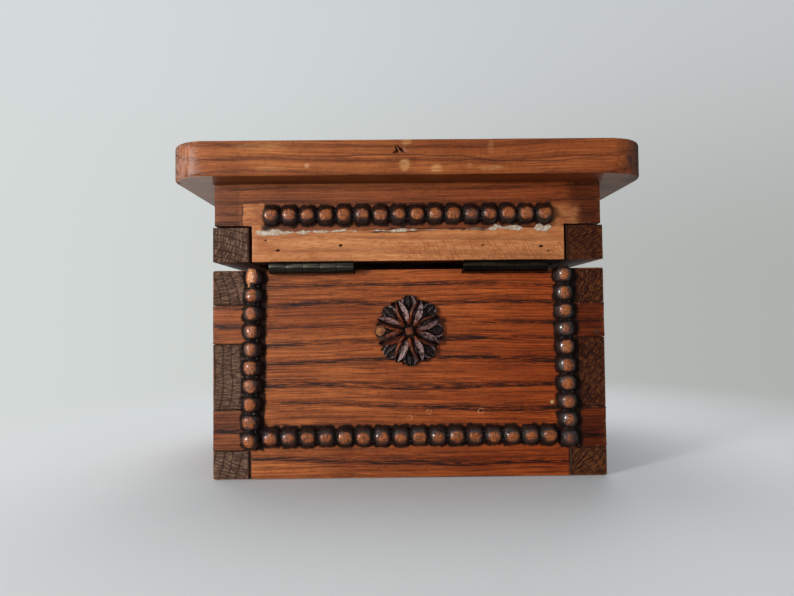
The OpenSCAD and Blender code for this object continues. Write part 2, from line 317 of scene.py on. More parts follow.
bpy.ops.mesh.primitive_circle_add(vertices=96, radius=FLOOR_RADIUS, fill_type="NGON", location=UNDER_BOX)
floor = bpy.context.object
floor.name = "floor"
material, tree, shader = new_material("floor")
feed_named(shader, {"Base_Color": (0.63, 0.65, 0.66), "Roughness": 0.9, "Specular_IOR_Level": 0.1})
place = coordinate(tree)
distance = vector_calc("LENGTH", place, output="Value")
from_eye = vector_calc("NORMALIZE", vector_calc("SUBTRACT", place, EYE))
fade = distance.between(FLOOR_NEAR, FLOOR_FAR) * seen_plainly(tree)
glow = wire(tree, "ShaderNodeEmission", {"Color": backdrop_colour(from_eye), "Strength": 1.0})
mixed = wire(tree, "ShaderNodeMixShader", {0: fade, 1: Wire(shader.outputs[0]), 2: glow})
feed(tree.nodes["Material Output"].inputs["Surface"], mixed)
floor.data.materials.append(material)
print("floor fades from", FLOOR_NEAR, "to", FLOOR_FAR, "m")

# %% Lamps
def lamp(name, place, target, width, power, colour):
    light = bpy.data.lights.new(name, "AREA")
    light.shape = "DISK"
    light.size = width
    light.energy = power
    light.color = colour
    made = bpy.data.objects.new(name, light)
    bpy.context.scene.collection.objects.link(made)
    made.location = place
    made.rotation_euler = (Vector(target) - Vector(place)).to_track_quat("-Z", "Y").to_euler()


lamp("window", (0.82, 0.71, 0.17), (0, 0.04, 0.08), 0.22, 12.5, (1.0, 0.98, 0.95))
lamp("ceiling", (0.20, -0.30, 1.20), (0, 0, 0.08), 0.7, 4.5, (1.0, 0.99, 0.97))
lamp("far_fill", (-0.35, -0.95, 0.45), (0, 0, 0.07), 0.7, 5.0, (0.97, 0.98, 1.0))

# %% [markdown]
# ## Oak
#
# The pattern is solid, like the wood: growth rings round a pith line that lies outside the
# board, long open pores along the grain, and rays that run out from the pith. A board is
# cut from it just by where its faces lie, so long grain, edge grain and end grain all come
# from one group. The grain runs along the group's X, and a Mapping node in each material
# turns the board to it and moves the pith.

# %% The oak group
oak, come, go = new_group("oak", {
    "Vector": None, "End": 0.0, "Ring": 0.005, "Wobble": 0.004, "Streak": 1.0,
    "Pale": (0.4, 0.15, 0.05, 1), "Deep": (0.2, 0.06, 0.02, 1), "Pore": (0.03, 0.01, 0.006, 1),
    "End Ground": (0.06, 0.03, 0.02, 1), "End Ray": (0.2, 0.12, 0.07, 1)},
    {"Color": "Color", "Height": "Float"})
drift = vector_calc("MULTIPLY", come["Vector"], (7, 22, 22))
drift = wire(oak, "ShaderNodeTexNoise", {"Vector": drift, "Scale": 1.0, "Detail": 2.0}, "Color")
drift = vector_calc("SUBTRACT", drift, (0.5, 0.5, 0.5))
drift = wire(oak, "ShaderNodeVectorMath", {0: drift, "Scale": come["Wobble"] * 2.0}, operation="SCALE")
wood = vector_calc("ADD", come["Vector"], drift)
part = split(wood)
radius = apart(part["Y"], part["Z"])
turn = calc("ARCTAN2", part["Z"], part["Y"])
phase = calc("FRACT", radius / come["Ring"] + speckle(wood, (9, 60, 60), 1.0) * 1.1)
early = phase.fade(0.08, 0.40)
ring = most(early, phase.between(0.86, 1.0) * 0.55)
fine_ring = abs(calc("FRACT", radius / (come["Ring"] * 0.23)) - 0.5).between(0.30, 0.48)
ring_line = phase.near(0.12, 0.04, 0.14)
cluster = speckle(wood, (22, 620, 620), 3.0, 0.65).between(0.42, 0.50)
dashes = speckle(wood, (100, 2400, 2400), 2.0, 0.7).between(0.43, 0.51)
open_pores = speckle(wood, (190, 3600, 3600), 1.0).between(0.52, 0.62)
fibre = speckle(wood, (16, 1300, 1300), 3.0, 0.75).between(0.40, 0.60)
line = speckle(wood, (34, 1500, 1500), 2.0, 0.6).between(0.545, 0.605)
broad = speckle(wood, (7, 70, 70), 3.0).between(0.35, 0.65)
fan = wire(oak, "ShaderNodeCombineXYZ", {"X": part["X"], "Y": turn * 0.13, "Z": radius})
rays = speckle(fan, (420, 1500, 300), 2.0, 0.6).between(0.47, 0.58)
dark_pores = cluster * dashes * (0.20 + early * 0.80)
light_pores = open_pores * 0.75 * (0.35 + ring * 0.65)
pores = calc("MULTIPLY", most(light_pores, dark_pores), come["Streak"], clamp=True)
print("oak pattern:", len(oak.nodes), "nodes")

# %% The oak's colour and depth
body = come["Pale"]
for mask, share in ((broad, 0.45), (ring, 0.40), (fine_ring, 0.30), (fibre, 0.65)):
    body = lay(mask * share, body, come["Deep"])
body = lay(line * come["Streak"] * 0.52, body, come["Pore"])
body = lay(pores, body, come["Pore"])
end = lay(rays * 0.85, come["End Ground"], come["End Ray"])
end = lay(ring_line * 0.65, end, come["Pore"])
end = lay(open_pores * 0.7, end, come["Pore"])
feed(go["Color"], lay(come["End"], body, end))
depth = blend(come["End"], pores * 0.7 + fibre * 0.3, open_pores * 0.9 - rays * 0.5)
feed(go["Height"], 1.0 - depth)
print("oak group:", len(oak.nodes), "nodes")

# %% [markdown]
# ## Where the strips stand
#
# The places come from the CAD model. On the back, which the photograph shows, the rows are
# a little longer than on paper and the two columns splay outward by a degree towards the
# foot, as they were glued by eye. The stain follows them.

# %% Where the boards, strips and rosettes stand
HALF_W, HALF_D, BOARD = 0.090, 0.065, 0.017
CORNER = {"X": HALF_W - BOARD, "Y": HALF_D - BOARD}
SLAB_Z, SLAB_BACK = 0.1351, 0.0814
RIGHT_JOINTS = (0.013, 0.0315, 0.0615, 0.0793)
LEFT_JOINTS = (0.013, 0.0315, 0.0633, 0.0793)
LID_JOINTS = (0.1152,)
BEAD, BEAD_HALF = 0.00825, 0.0048
BODY_ROW_Z, LID_ROW_Z, ROSETTE_Z = 0.019, 0.1204, 0.0668
COLUMN_FOOT, COLUMN_BEADS = 0.0136, 10
COLUMN_TOP = COLUMN_FOOT + COLUMN_BEADS * BEAD
ROW_BEADS = {"X": 16, "Y": 10}
STRIP_GAP = 0.1 * MM
BACK_STRETCH, LID_BACK_STRETCH, SPLAY = 1.022, 1.012, 0.0215


def row_end(along):
    return ROW_BEADS[along] * BEAD / 2


def column_place(along):
    return row_end(along) + STRIP_GAP + BEAD_HALF


print("columns at", round(column_place("X"), 5), "and", round(column_place("Y"), 5))

# %% [markdown]
# ## The dark edge round the carving, and a painted shadow
#
# The beading and the rosettes were stained after they were glued on, so the stain ran
# round them on to the boards. On the back the mask also holds a painted shadow: a band
# beside each column that reaches further to -X, away from the lamp. The group measures
# the distance from the strips and the rosette on a face, where U runs along the face and V
# up, and turns it into a mask.

# %% The stain and painted shadow edge group
BLOT_LONG, BLOT_WIDE, BLOT_ROUND = 1.9 * MM, 2.6 * MM, 1.9 * MM
# How far the painted shadow beside a column reaches from its middle, towards -X and towards +X.
SHADOW_TO_MINUS_X, SHADOW_TO_PLUS_X = 5.4 * MM, 3.0 * MM
ROSETTE_REACH = 13.8 * MM
stain_and_shadow_edge, come, go = new_group("stain_and_shadow_edge", {
    "U": 0.0, "V": 0.0, "Shadow": 0.0, "Column": 1.0, "Row End": 0.1, "Row Height": 0.0, "Rosette Height": -9.0,
    "Foot": 0.0, "Rough": 0.0, "Stretch": 1.0, "Splay": 0.0}, {"Mask": "Float"})


def beads_apart(along_strip, across_strip):
    """Distance from the nearest bead of a strip, whose outline is a rounded rectangle."""
    beat = abs(calc("FRACT", along_strip / BEAD) - 0.5) * BEAD
    return apart(most(beat - BLOT_LONG, 0.0), most(abs(across_strip) - BLOT_WIDE, 0.0)) - BLOT_ROUND


column_at = come["Column"] + come["Splay"] * (COLUMN_TOP - come["V"])
from_column = come["U"] - calc("SIGN", come["U"]) * column_at
# Painted shadow: a band beside each column, reaching further to -X, away from the lamp.
painted_band = most(-from_column - SHADOW_TO_MINUS_X, from_column - SHADOW_TO_PLUS_X) + (1.0 - come["Shadow"])
column = least(beads_apart(come["V"] - come["Foot"], from_column), painted_band)
column = most(column, come["Foot"] - come["V"])
shrunk = come["U"] / come["Stretch"]
row = most(beads_apart(shrunk, come["V"] - come["Row Height"]), abs(shrunk) - come["Row End"])
ragged = come["Rough"] - 0.5
flower = apart(come["U"], come["V"] - come["Rosette Height"]) - ROSETTE_REACH + ragged * 0.0050
nearest = least(column, row, flower) + ragged * 0.0030
feed(go["Mask"], nearest.fade(0.2 * MM, 1.3 * MM))
print("stain edge group:", len(stain_and_shadow_edge.nodes), "nodes")

# %% The marks on each face
def body_marks(along, part):
    at = {"Column": column_place(along), "Row_End": row_end(along), "Row_Height": BODY_ROW_Z,
          "Rosette_Height": ROSETTE_Z, "Foot": COLUMN_FOOT}
    if along == "X":
        back = part["Y"] > 0.0
        # On the back the painted shadow beside the columns is shown, the columns splay and the rows stretch.
        at |= {"Shadow": back, "Splay": back * SPLAY, "Stretch": back * (BACK_STRETCH - 1) + 1.0}
    return at


def lid_marks(along, part):
    at = {"Row_End": row_end(along), "Row_Height": LID_ROW_Z}
    if along == "X":
        at["Stretch"] = (part["Y"] > 0.0) * (LID_BACK_STRETCH - 1) + 1.0
    return at


MARKS_OF = {"body": body_marks, "lid": lid_marks}
print("stain marks on:", *MARKS_OF)

# %% [markdown]
# ## Board materials
#
# Every board gets its own cut of oak: the direction of its grain, the place of the pith and
# its tones. Outer faces carry the stain's edge and a worn polish, which is a thin coat that
# end grain and stain leave bare, and inner faces are plain. On the back a painted shadow
# beside each column joins the stain's edge. Which faces are which is a matter of place, so
# the material reads Object coordinates. Dirt darkens the lines where two boards meet, and
# hands have dulled some stretches near the corners. Painted shade makes the back boards and
# the slab darker and redder towards -X, away from the lamp.

# %% Tones
TONES = {
    "body": dict(Pale=(0.460, 0.139, 0.037), Deep=(0.160, 0.031, 0.0066), Pore=(0.020, 0.009, 0.008)),
    "lid": dict(Pale=(0.40, 0.135, 0.050), Deep=(0.165, 0.042, 0.015), Pore=(0.020, 0.008, 0.007)),
    "slab": dict(Pale=(0.38, 0.124, 0.034), Deep=(0.180, 0.043, 0.011), Pore=(0.045, 0.012, 0.007)),
    "bare": dict(Pale=(0.56, 0.240, 0.095), Deep=(0.38, 0.135, 0.045), Pore=(0.13, 0.040, 0.016)),
    "inside": dict(Pale=(0.36, 0.19, 0.095), Deep=(0.22, 0.105, 0.048), Pore=(0.06, 0.028, 0.016)),
}
PLAIN_END = dict(End_Ground=(0.062, 0.033, 0.024), End_Ray=(0.20, 0.12, 0.075))
GREY_END = dict(End_Ground=(0.085, 0.047, 0.034), End_Ray=(0.225, 0.135, 0.090))
BROWN_END = dict(End_Ground=(0.030, 0.0080, 0.0045), End_Ray=(0.145, 0.046, 0.015))
PALE_END = dict(End_Ground=(0.17, 0.075, 0.042), End_Ray=(0.36, 0.23, 0.17))
GLUE, DARK_GLUE = (0.46, 0.40, 0.32), (0.33, 0.24, 0.17)
# Near-black, for the stain, a tar spot and the painted shadow beside the back's columns.
STAIN_AND_SHADOW = (0.010, 0.006, 0.005)
JOINT_DIRT = (0.024, 0.009, 0.006)
PIT_DARK = (0.014, 0.006, 0.005)
# The last is the tint of the painted shade, darker and redder towards -X, away from the lamp.
DUST, GRIME, FAR_SHADE_TINT = (0.52, 0.40, 0.33), (0.35, 0.25, 0.22), (0.83, 0.42, 0.13)
POLISH = 0.32
print("tones:", *TONES)

# %% Dulled stretches
# Each is x where it starts and where it is full, its lowest and highest z, and its tint.
LOWEST, HIGHEST = -1.0, 1.0
DULL_RIGHT = (-0.0715, -0.0775, LOWEST, HIGHEST, (0.40, 0.36, 0.36))
DULL_LID = (-0.0715, -0.0775, LOWEST, HIGHEST, (0.46, 0.44, 0.43))
DULL_FINGER = (0.0720, 0.0726, 0.013, 0.0315, (0.57, 0.57, 0.68))
DULL_BLOCK = (0.0765, 0.0780, 0.1154, 0.1180, (0.38, 0.35, 0.42))
DULL_LEFT = (0.0765, 0.0790, 0.1154, HIGHEST, (0.76, 0.78, 0.80))
BROWNED = (-1.0, -0.9, LOWEST, HIGHEST, (0.80, 0.76, 0.70))
FOOT_PALE = (-0.05, -0.06, LOWEST, 0.013, (1.30, 1.45, 1.35))
ZONE_EDGE = 0.4 * MM


def dulled(part, colour, zones):
    for start, full, low, high, tint in zones:
        spot = part["X"].between(start, full) * part["Z"].between(low - ZONE_EDGE, low + ZONE_EDGE)
        spot = spot * part["Z"].between(high + ZONE_EDGE, high - ZONE_EDGE)
        colour = lay(spot, colour, tint, "MULTIPLY")
    return colour


# %% Grain, joints and stain
TURNS = {"X": (0.0, 0.0, 0.0), "Y": (0.0, 0.0, -math.pi / 2)}


def grain_vector(place, grain, pith):
    """Object coordinates turned so that the grain is X, with the pith as the origin."""
    moved = vector_calc("SUBTRACT", place, pith)
    return wire(place.tree, "ShaderNodeMapping", {"Vector": moved, "Rotation": TURNS[grain]})


def end_mask(tree, grain):
    """1 on end grain, 0 on long grain."""
    return abs(split(coordinate(tree, "Normal"))[grain]).between(0.6, 0.85)


def joint_lines(part, heights, side_board):
    """Dirt in the lines where the fingers of two boards meet, near the box's upright edges."""
    out, foot = abs(part["X"]), RIGHT_JOINTS[0]
    on_face = abs(part["Y"]).between(CORNER["Y"] - 1.0 * MM, CORNER["Y"] - 0.1 * MM)
    level = most(*(part["Z"].near(z, 0.2 * MM, 0.7 * MM) for z in heights))
    level = level * out.between(CORNER["X"] - 1.0 * MM, CORNER["X"] - 0.1 * MM) * on_face
    if side_board:
        upright = out.between(CORNER["X"] + 1.4 * MM, CORNER["X"] + 0.7 * MM)
    else:
        upright = out.between(CORNER["X"] - 1.0 * MM, CORNER["X"] - 0.2 * MM)
        upright = upright * part["Z"].between(foot + 0.2 * MM, foot - 0.2 * MM)
    return most(level, upright * on_face)


def stain_and_shadow_on(part, place, marks):
    """The stain's mask, with the painted shadow beside the back's columns, on all four outer faces."""
    blotch = speckle(place, 330, 3.0)
    found = 0.0
    for along, out, reach in (("X", "Y", HALF_D), ("Y", "X", HALF_W)):
        edge = use_group(stain_and_shadow_edge, U=part[along], V=part["Z"], Rough=blotch, **marks(along, part))
        found = most(found, edge["Mask"] * abs(part[out]).between(reach - 1.2 * MM, reach - 0.6 * MM))
    return found


# %% One board's material
def board_material(name, grain, pith, tone="body", ring=0.0052, wobble=0.004, streak=1.0, far_shade=0.0,
                   dull=(), joints=(), ends_look=PLAIN_END, extra=None):
    """Boards with joints stand in a wall of the box, so they have an inner face."""
    material, tree, shader = new_material(name)
    place = coordinate(tree)
    part = split(place)
    tones = TONES[tone]
    if joints:
        across = "Y" if grain == "X" else "X"
        hidden = abs(part[across]).fade(CORNER[across] + 0.4 * MM, CORNER[across] + 0.8 * MM)
        tones = {key: lay(hidden, value, TONES["inside"][key]) for key, value in tones.items()}
    ends = end_mask(tree, grain)
    cut = use_group(oak, Vector=grain_vector(place, grain, pith), End=ends, Ring=ring, Wobble=wobble,
                    Streak=streak, **ends_look, **tones)
    height = cut["Height"]
    polish = POLISH - ends * POLISH
    cloud = speckle(place, 38, 3.0)
    grit = speckle(place, 520, 3.0, 0.7)
    colour = lay(cloud.between(0.38, 0.70, 0.0, 0.42), cut["Color"], DUST, "MULTIPLY")
    colour = lay(grit.between(0.50, 0.70, 0.0, 0.35), colour, GRIME, "MULTIPLY")
    # Painted shade: darker and redder towards -X, away from the lamp, with a thinner coat there.
    if far_shade:
        side = part["X"].between(0.07, -0.08, 0.0, far_shade)
        colour = lay(side, colour, FAR_SHADE_TINT, "MULTIPLY")
        polish = polish - side * 0.20
    colour = dulled(part, colour, dull)
    if joints:
        colour = lay(joint_lines(part, joints, grain == "Y") * 0.88, colour, JOINT_DIRT)
        # The stain, and on the back the painted shadow beside the columns, in near-black, without polish.
        stain_and_shadow = stain_and_shadow_on(part, place, MARKS_OF[tone])
        colour = lay(stain_and_shadow * 0.97, colour, STAIN_AND_SHADOW)
        polish = (1.0 - stain_and_shadow) * polish
    rub = attribute(tree, "edge") * grit.between(0.50, 0.66) * (1.0 - ends)
    colour = lay(rub * 0.30, colour, TONES[tone]["Pale"])
    roughness = cloud * 0.26 + 0.36
    if extra:
        colour, height, roughness = extra(part, place, colour, height, roughness)
    colour = lay(attribute(tree, "pit").between(0.1, 0.6), colour, PIT_DARK)
    feed_named(shader, {"Base_Color": colour, "Roughness": roughness, "Normal": bump(height, 0.7, 0.25 * MM),
                        "Coat_Weight": most(polish, 0.0), "Coat_Roughness": 0.46, "Specular_IOR_Level": 0.03})
    return material


# %% [markdown]
# ## The bare strip on the lid's back
#
# Under the lid's beading the wood is bare, as if a moulding had come off: pale, with saw
# scratches, small nail holes and a crust of old glue along its upper edge. Beside the row,
# one bead is gone at each end and left a pale patch in a dark outline.

# %% Bare wood
BARE_LOW, BARE_TOP, BARE_HALF, TOP_SLOPE = 0.097, 0.1133, 0.0736, 0.012


def on_back(part):
    return part["Y"].between(HALF_D - 1.0 * MM, HALF_D - 0.4 * MM)


def box_mask(x, z, middle_x, half_x, middle_z, half_z, soft, rough=0.0):
    """1 inside a rectangle on the back, 0 outside. rough frays its edge."""
    far = most(abs(x - middle_x) - half_x, abs(z - middle_z) - half_z)
    return (far + rough).fade(-soft, soft)


def bare_mask(x, z, level, rough, place):
    """The strip, and the patch that a lost bead left at each end of the row."""
    middle, half = (BARE_TOP + BARE_LOW) / 2, (BARE_TOP - BARE_LOW) / 2
    strip = box_mask(x, level, 0.0, BARE_HALF, middle, half, 0.2 * MM, rough)
    left = box_mask(x, z, 0.0712, 0.0047, 0.1190, 0.0070, 0.3 * MM, rough)
    right = box_mask(x, z, -0.0728, 0.0058, 0.1188, 0.0056, 2.2 * MM, rough * 1.5)
    faded = speckle(place, (150, 150, 330), 3.0).between(0.34, 0.60)
    return most(strip, most(left * 0.9, right * 0.6) * (0.35 + faded * 0.65))


def bare_wood(x, z, place):
    """Its colour, its height and the saw scratches."""
    bare = use_group(oak, Vector=grain_vector(place, "X", (0.02, 0.0, 0.02)), Ring=0.006, Wobble=0.003,
                     Streak=0.5, **TONES["bare"])
    flecks = speckle(place, (330, 330, 1300), 3.0, 0.75).between(0.51, 0.59)
    tone = lay(flecks * 0.75, bare["Color"], (0.31, 0.098, 0.030))
    slanted = {"Vector": place, "Rotation": (0.0, math.radians(65), 0.0)}
    turned = wire(place.tree, "ShaderNodeMapping", slanted)
    saw = speckle(turned, (190, 1, 1100), 2.0, 0.6).between(0.53, 0.62)
    sawn = x.fade(-0.016, 0.020) * z.between(0.1115, 0.1065) * saw
    tone = lay(sawn * 0.50, tone, (0.32, 0.092, 0.028))
    stains = speckle(place, (70, 70, 150), 3.0).between(0.50, 0.72)
    return lay(stains * 0.5, tone, (0.70, 0.48, 0.36), "MULTIPLY"), bare["Height"], sawn


# %% Old glue and dark lines
# Each lump of glue is where it starts and ends in x, and how thick it is.
GLUE_LUMPS = ((0.0715, 0.0560, 0.85 * MM), (0.0640, 0.0200, 0.45 * MM), (0.0180, -0.0050, 0.45 * MM),
              (-0.0370, -0.0540, 0.95 * MM), (-0.0580, -0.0665, 1.25 * MM))
LEAST_GLUE = 0.12 * MM


def glue_mask(x, off, lumpy):
    """The crust along the strip's upper edge. off is the distance above that edge."""
    thick = LEAST_GLUE
    for start, end, lump in GLUE_LUMPS:
        inside = 1.0 - abs((x - (start + end) / 2) / ((start - end) / 2))
        thick = most(thick, inside.between(-0.1, 0.5, 0.0, lump))
    thick = thick * lumpy.between(0.34, 0.66, 0.45, 1.7)
    glue = (abs(off) - thick).fade(-0.2 * MM, 0.3 * MM)
    return glue * abs(x).fade(0.0695, 0.0715) * thick.between(0.1 * MM, 0.3 * MM)


def bare_strip(part, place, colour, height, roughness):
    x, z, back = part["X"], part["Z"], on_back(part)
    ragged = speckle(place, (160, 160, 420), 3.0) - 0.5
    rough = ragged * 0.0022
    level = z + x * TOP_SLOPE
    pale = bare_mask(x, z, level, rough, place) * back
    tone, bare_height, sawn = bare_wood(x, z, place)
    colour = lay(pale, colour, tone)

    off = level + rough * 1.2 - BARE_TOP
    lumpy = speckle(place, 260, 3.0, 0.65)
    crumbs = speckle(place, 900, 2.0)
    glue = glue_mask(x, off, lumpy) * back
    crack = abs(off).fade(0.3 * MM, 0.7 * MM) * box_mask(x, z, -0.0265, 0.0100, 0.113, 0.01, 3 * MM)
    lips = abs(off).near(0.8 * MM, 0.1 * MM, 0.4 * MM) * box_mask(x, z, 0.0040, 0.0150, 0.113, 0.01, 3 * MM)
    colour = lay(most(crack, lips) * back * 0.9, colour, (0.018, 0.008, 0.006))
    crust = lay(crumbs.between(0.40, 0.62), GLUE, DARK_GLUE)
    colour = lay(glue * lumpy.between(0.30, 0.50, 0.45, 0.95), colour, crust)
    tail = box_mask(x, z, -0.0592, 0.0024, 0.1056, 0.12 * MM, 0.3 * MM, ragged * 0.0008)
    outline = (x + rough).near(0.0762, 0.1 * MM, 0.5 * MM)
    outline = outline * box_mask(x, z, 0.076, 0.002, 0.1190, 0.0060, 0.4 * MM)
    colour = lay(most(outline, tail) * back * 0.85, colour, (0.03, 0.012, 0.01))
    tar = box_mask(x, z, 0.0655, 0.0016, 0.1148, 0.8 * MM, 1.1 * MM, rough * 1.5) * back
    colour = lay(tar, colour, STAIN_AND_SHADOW)
    height = blend(pale, height, bare_height - sawn * 1.2) + glue * (1.2 + crumbs * 2.0)
    return colour, height, blend(pale, roughness, 0.75)


print("lumps of glue:", len(GLUE_LUMPS))


# %% [markdown]
# ## Small marks on the body's back
#
# Drops of old polish dried on the back and left pale rings, and two flecks lie near its
# right column. They are too thin to model, so distances from their middles paint them.

# %% Drops and flecks
DROPS = ((0.0002, 0.0270, 1.1 * MM), (-0.0087, 0.0296, 1.0 * MM), (-0.0325, 0.0298, 1.2 * MM))
PALE_FLECK, DARK_FLECK = (-0.0652, 0.0336), (-0.0864, 0.0658)


def body_spots(part, place, colour, height, roughness):
    """Three pale rings, a pale fleck and a dark one."""
    back = on_back(part)

    def away(x, z):
        return apart(part["X"] - x, part["Z"] - z)

    ring = most(*(away(x, z).near(size, 0.1 * MM, 0.5 * MM) for x, z, size in DROPS))
    ring = ring * speckle(place, 700, 2.0).between(0.42, 0.60)
    pale = away(*PALE_FLECK).fade(0.4 * MM, 1.2 * MM)
    dark = away(*DARK_FLECK).fade(0.6 * MM, 1.7 * MM)
    for spot, share, tone in ((ring, 0.32, (0.62, 0.30, 0.14)), (pale, 0.75, (0.55, 0.36, 0.17)),
                              (dark, 0.8, (0.05, 0.022, 0.014))):
        colour = lay(spot * back * share, colour, tone)
    return colour, height + ring * back * 0.6, roughness


print("drops of polish:", len(DROPS))


# %% [markdown]
# ## Marks on the slab
#
# The slab is the piece that hands touch. Its back edge has rubbed spots round the knot, a
# long wandering crack, ripples on the rounded corner and painted shade on the corner at -X,
# which turns away from the lamp. Its underside carries a painted reflection of the pale room
# where it overhangs, paler at +X towards the lamp, painted shade between its back edge and
# the lid's back board, and bare wood inside the lid.

# %% The slab's underside and back edge
# Each rubbed spot is its x and z, its half width and half height, and how much it shows.
RUBBED_SPOTS = ((0.0015, 0.1393, 0.0021, 0.0026, 1.0), (0.0010, 0.1496, 0.0020, 0.0016, 0.8),
                (-0.0120, 0.1379, 0.0024, 0.0018, 0.9), (-0.0268, 0.1390, 0.0012, 0.0009, 0.6),
                (-0.036, 0.1378, 0.0055, 0.0012, 0.5), (-0.036, 0.1474, 0.0012, 0.0030, 0.35),
                (0.060, 0.1385, 0.0060, 0.0014, 0.35), (0.064, 0.1478, 0.0110, 0.0016, 0.40))
CRACK_Z = 0.1436
# Painted reflection of the pale room on the slab's overhang: paler at +X, towards the lamp.
UNDERSIDE_GLARE_LEFT, UNDERSIDE_GLARE_RIGHT = (0.45, 0.355, 0.305), (0.22, 0.165, 0.125)


def slab_underside(part, colour):
    x, y, z = part.values()
    under = z < SLAB_Z + 0.2 * MM
    beyond = (abs(x) + most(y - HALF_D, 0.0) * 0.29).between(0.0896, 0.0903)
    # Painted reflection on the overhang outside the frame, whose edge leans with y.
    glare = lay(0.30, lay(x > 0.0, UNDERSIDE_GLARE_RIGHT, UNDERSIDE_GLARE_LEFT), colour)
    colour = lay(under * beyond * 0.85, colour, glare)
    # Painted shade on the underside between the slab's back edge and the lid's back board.
    colour = lay(under * (1.0 - beyond) * (y > HALF_D - 0.2 * MM), colour, (0.72, 0.62, 0.62), "MULTIPLY")
    inside = under * (abs(x) < CORNER["X"] + 0.2 * MM) * (abs(y) < CORNER["Y"] + 0.2 * MM)
    return lay(inside, colour, lay(0.6, colour, (0.30, 0.165, 0.085)))


def slab_marks(part, place, colour, height, roughness):
    x, y, z = part.values()
    ragged = (speckle(place, 420, 3.0) - 0.5) * 1.2
    fibre = speckle(place, (120, 120, 1500), 2.0).between(0.38, 0.60)
    back = y.between(0.0775, 0.0785)

    def spot(at_x, at_z, wide, high):
        return (apart((x - at_x) / wide, (z - at_z) / high) + ragged).fade(0.55, 1.45)

    colour = slab_underside(part, colour)
    worn = most(*(spot(*area) * share for *area, share in RUBBED_SPOTS)) * back * (0.25 + fibre * 0.75)
    colour = lay(worn * 0.58, colour, (0.56, 0.30, 0.115))
    colour = lay(spot(0.0441, 0.1394, 1.0 * MM, 1.0 * MM) * back * 0.5, colour, (0.52, 0.30, 0.17))
    ripple = speckle(place, (520, 520, 110), 3.0, 0.7).between(0.36, 0.64)
    corner = x.between(0.0915, 0.0955) * x.fade(0.1000, 0.1045) * y.between(0.064, 0.070) * ripple
    colour = lay(corner * 0.50, colour, (0.30, 0.185, 0.150))
    wave = (speckle(place, 60, 2.0) - 0.5) * 0.0022
    dip = x.between(-0.018, -0.043, 0.0, -0.0031) + x.between(-0.055, -0.096, 0.0, 0.0024)
    crack = abs(z + wave - (dip + CRACK_Z)).fade(0.05 * MM, 0.36 * MM) * back
    crack = crack * x.between(0.080, 0.0, 0.25, 1.0) * x.between(-0.098, -0.062, 0.35, 1.0)
    colour = lay(crack * 0.85, colour, (0.04, 0.013, 0.009))
    colour = lay(spot(-0.0975, 0.1416, 2.0 * MM, 2.0 * MM) * back * 0.8, colour, (0.05, 0.020, 0.014))
    # Painted shade: the rounded corner at -X, turned away from the lamp, is darkened.
    turned = x.fade(-0.1040, -0.0955) * y.between(0.060, 0.066) * 0.9
    return lay(turned, colour, (0.42, 0.38, 0.36), "MULTIPLY"), height - crack, roughness


print("rubbed spots on the slab:", len(RUBBED_SPOTS))


# %% [markdown]
# ## A cut of oak for each board
#
# The pith decides the figure: far below a board it gives the nearly straight lines of the
# body, and close behind an end it gives the curved rings that the end blocks show.

# %% Make the board materials
# The back boards and the slab get painted shade towards -X, darker and redder away from the lamp.
oak_of = {
    "box_back_board": board_material("oak_box_back", "X", (0.01, -0.045, -0.058), ring=0.0066, far_shade=0.8,
                                     dull=(DULL_RIGHT, DULL_FINGER), joints=RIGHT_JOINTS, extra=body_spots),
    "box_front_board": board_material("oak_box_front", "X", (0.17, 0.038, -0.055), joints=RIGHT_JOINTS),
    "box_left_board": board_material("oak_box_left", "Y", (-0.020, 0.21, -0.05), ring=0.0036, wobble=0.003,
                                     joints=LEFT_JOINTS, dull=(FOOT_PALE,), ends_look=BROWN_END),
    "box_right_board": board_material("oak_box_right", "Y", (0.22, 0.47, 0.045), ring=0.0040, wobble=0.003,
                                      joints=RIGHT_JOINTS, ends_look=GREY_END),
    "lid_back_board": board_material("oak_lid_back", "X", (0.33, -0.03, 0.02), "lid", ring=0.0044, streak=0.6,
                                     far_shade=0.6, dull=(BROWNED, DULL_LID, DULL_LEFT, DULL_BLOCK),
                                     joints=LID_JOINTS, extra=bare_strip),
    "lid_front_board": board_material("oak_lid_front", "X", (0.58, 0.03, 0.02), "lid", ring=0.0046,
                                      joints=LID_JOINTS),
    "lid_left_board": board_material("oak_lid_left", "Y", (-0.020, 0.71, 0.05), "lid", ring=0.0034,
                                     joints=LID_JOINTS, ends_look=BROWN_END),
    "lid_right_board": board_material("oak_lid_right", "Y", (0.120, 0.93, -0.06), "lid", ring=0.0036,
                                      joints=LID_JOINTS, ends_look=GREY_END),
    "lid_slab": board_material("oak_slab", "X", (0.71, 0.02, 0.035), "slab", ring=0.0060, wobble=0.006,
                               streak=0.60, far_shade=0.35, ends_look=PALE_END, extra=slab_marks),
    "box_bottom_panel": board_material("oak_panel", "X", (0.9, 0.03, -0.12), "inside", ring=0.0048),
}
print("board materials:", len(oak_of))

# %% [markdown]
# ## Working on a mesh as by hand
#
# The helpers below select by place, because there is no mouse. Each operator works on all
# that is selected, so everything is deselected first.

# %% Helpers for meshes
def take(obj):
    """Makes obj the only selected object, and the active one."""
    if bpy.context.object and bpy.context.object.mode != "OBJECT":
        bpy.ops.object.mode_set(mode="OBJECT")
    bpy.ops.object.select_all(action="DESELECT")
    obj.select_set(True)
    bpy.context.view_layer.objects.active = obj


def edit(obj, select="DESELECT"):
    take(obj)
    bpy.ops.object.mode_set(mode="EDIT")
    bpy.ops.mesh.select_mode(type="VERT")
    bpy.ops.mesh.select_all(action=select)


def done():
    bpy.ops.object.mode_set(mode="OBJECT")


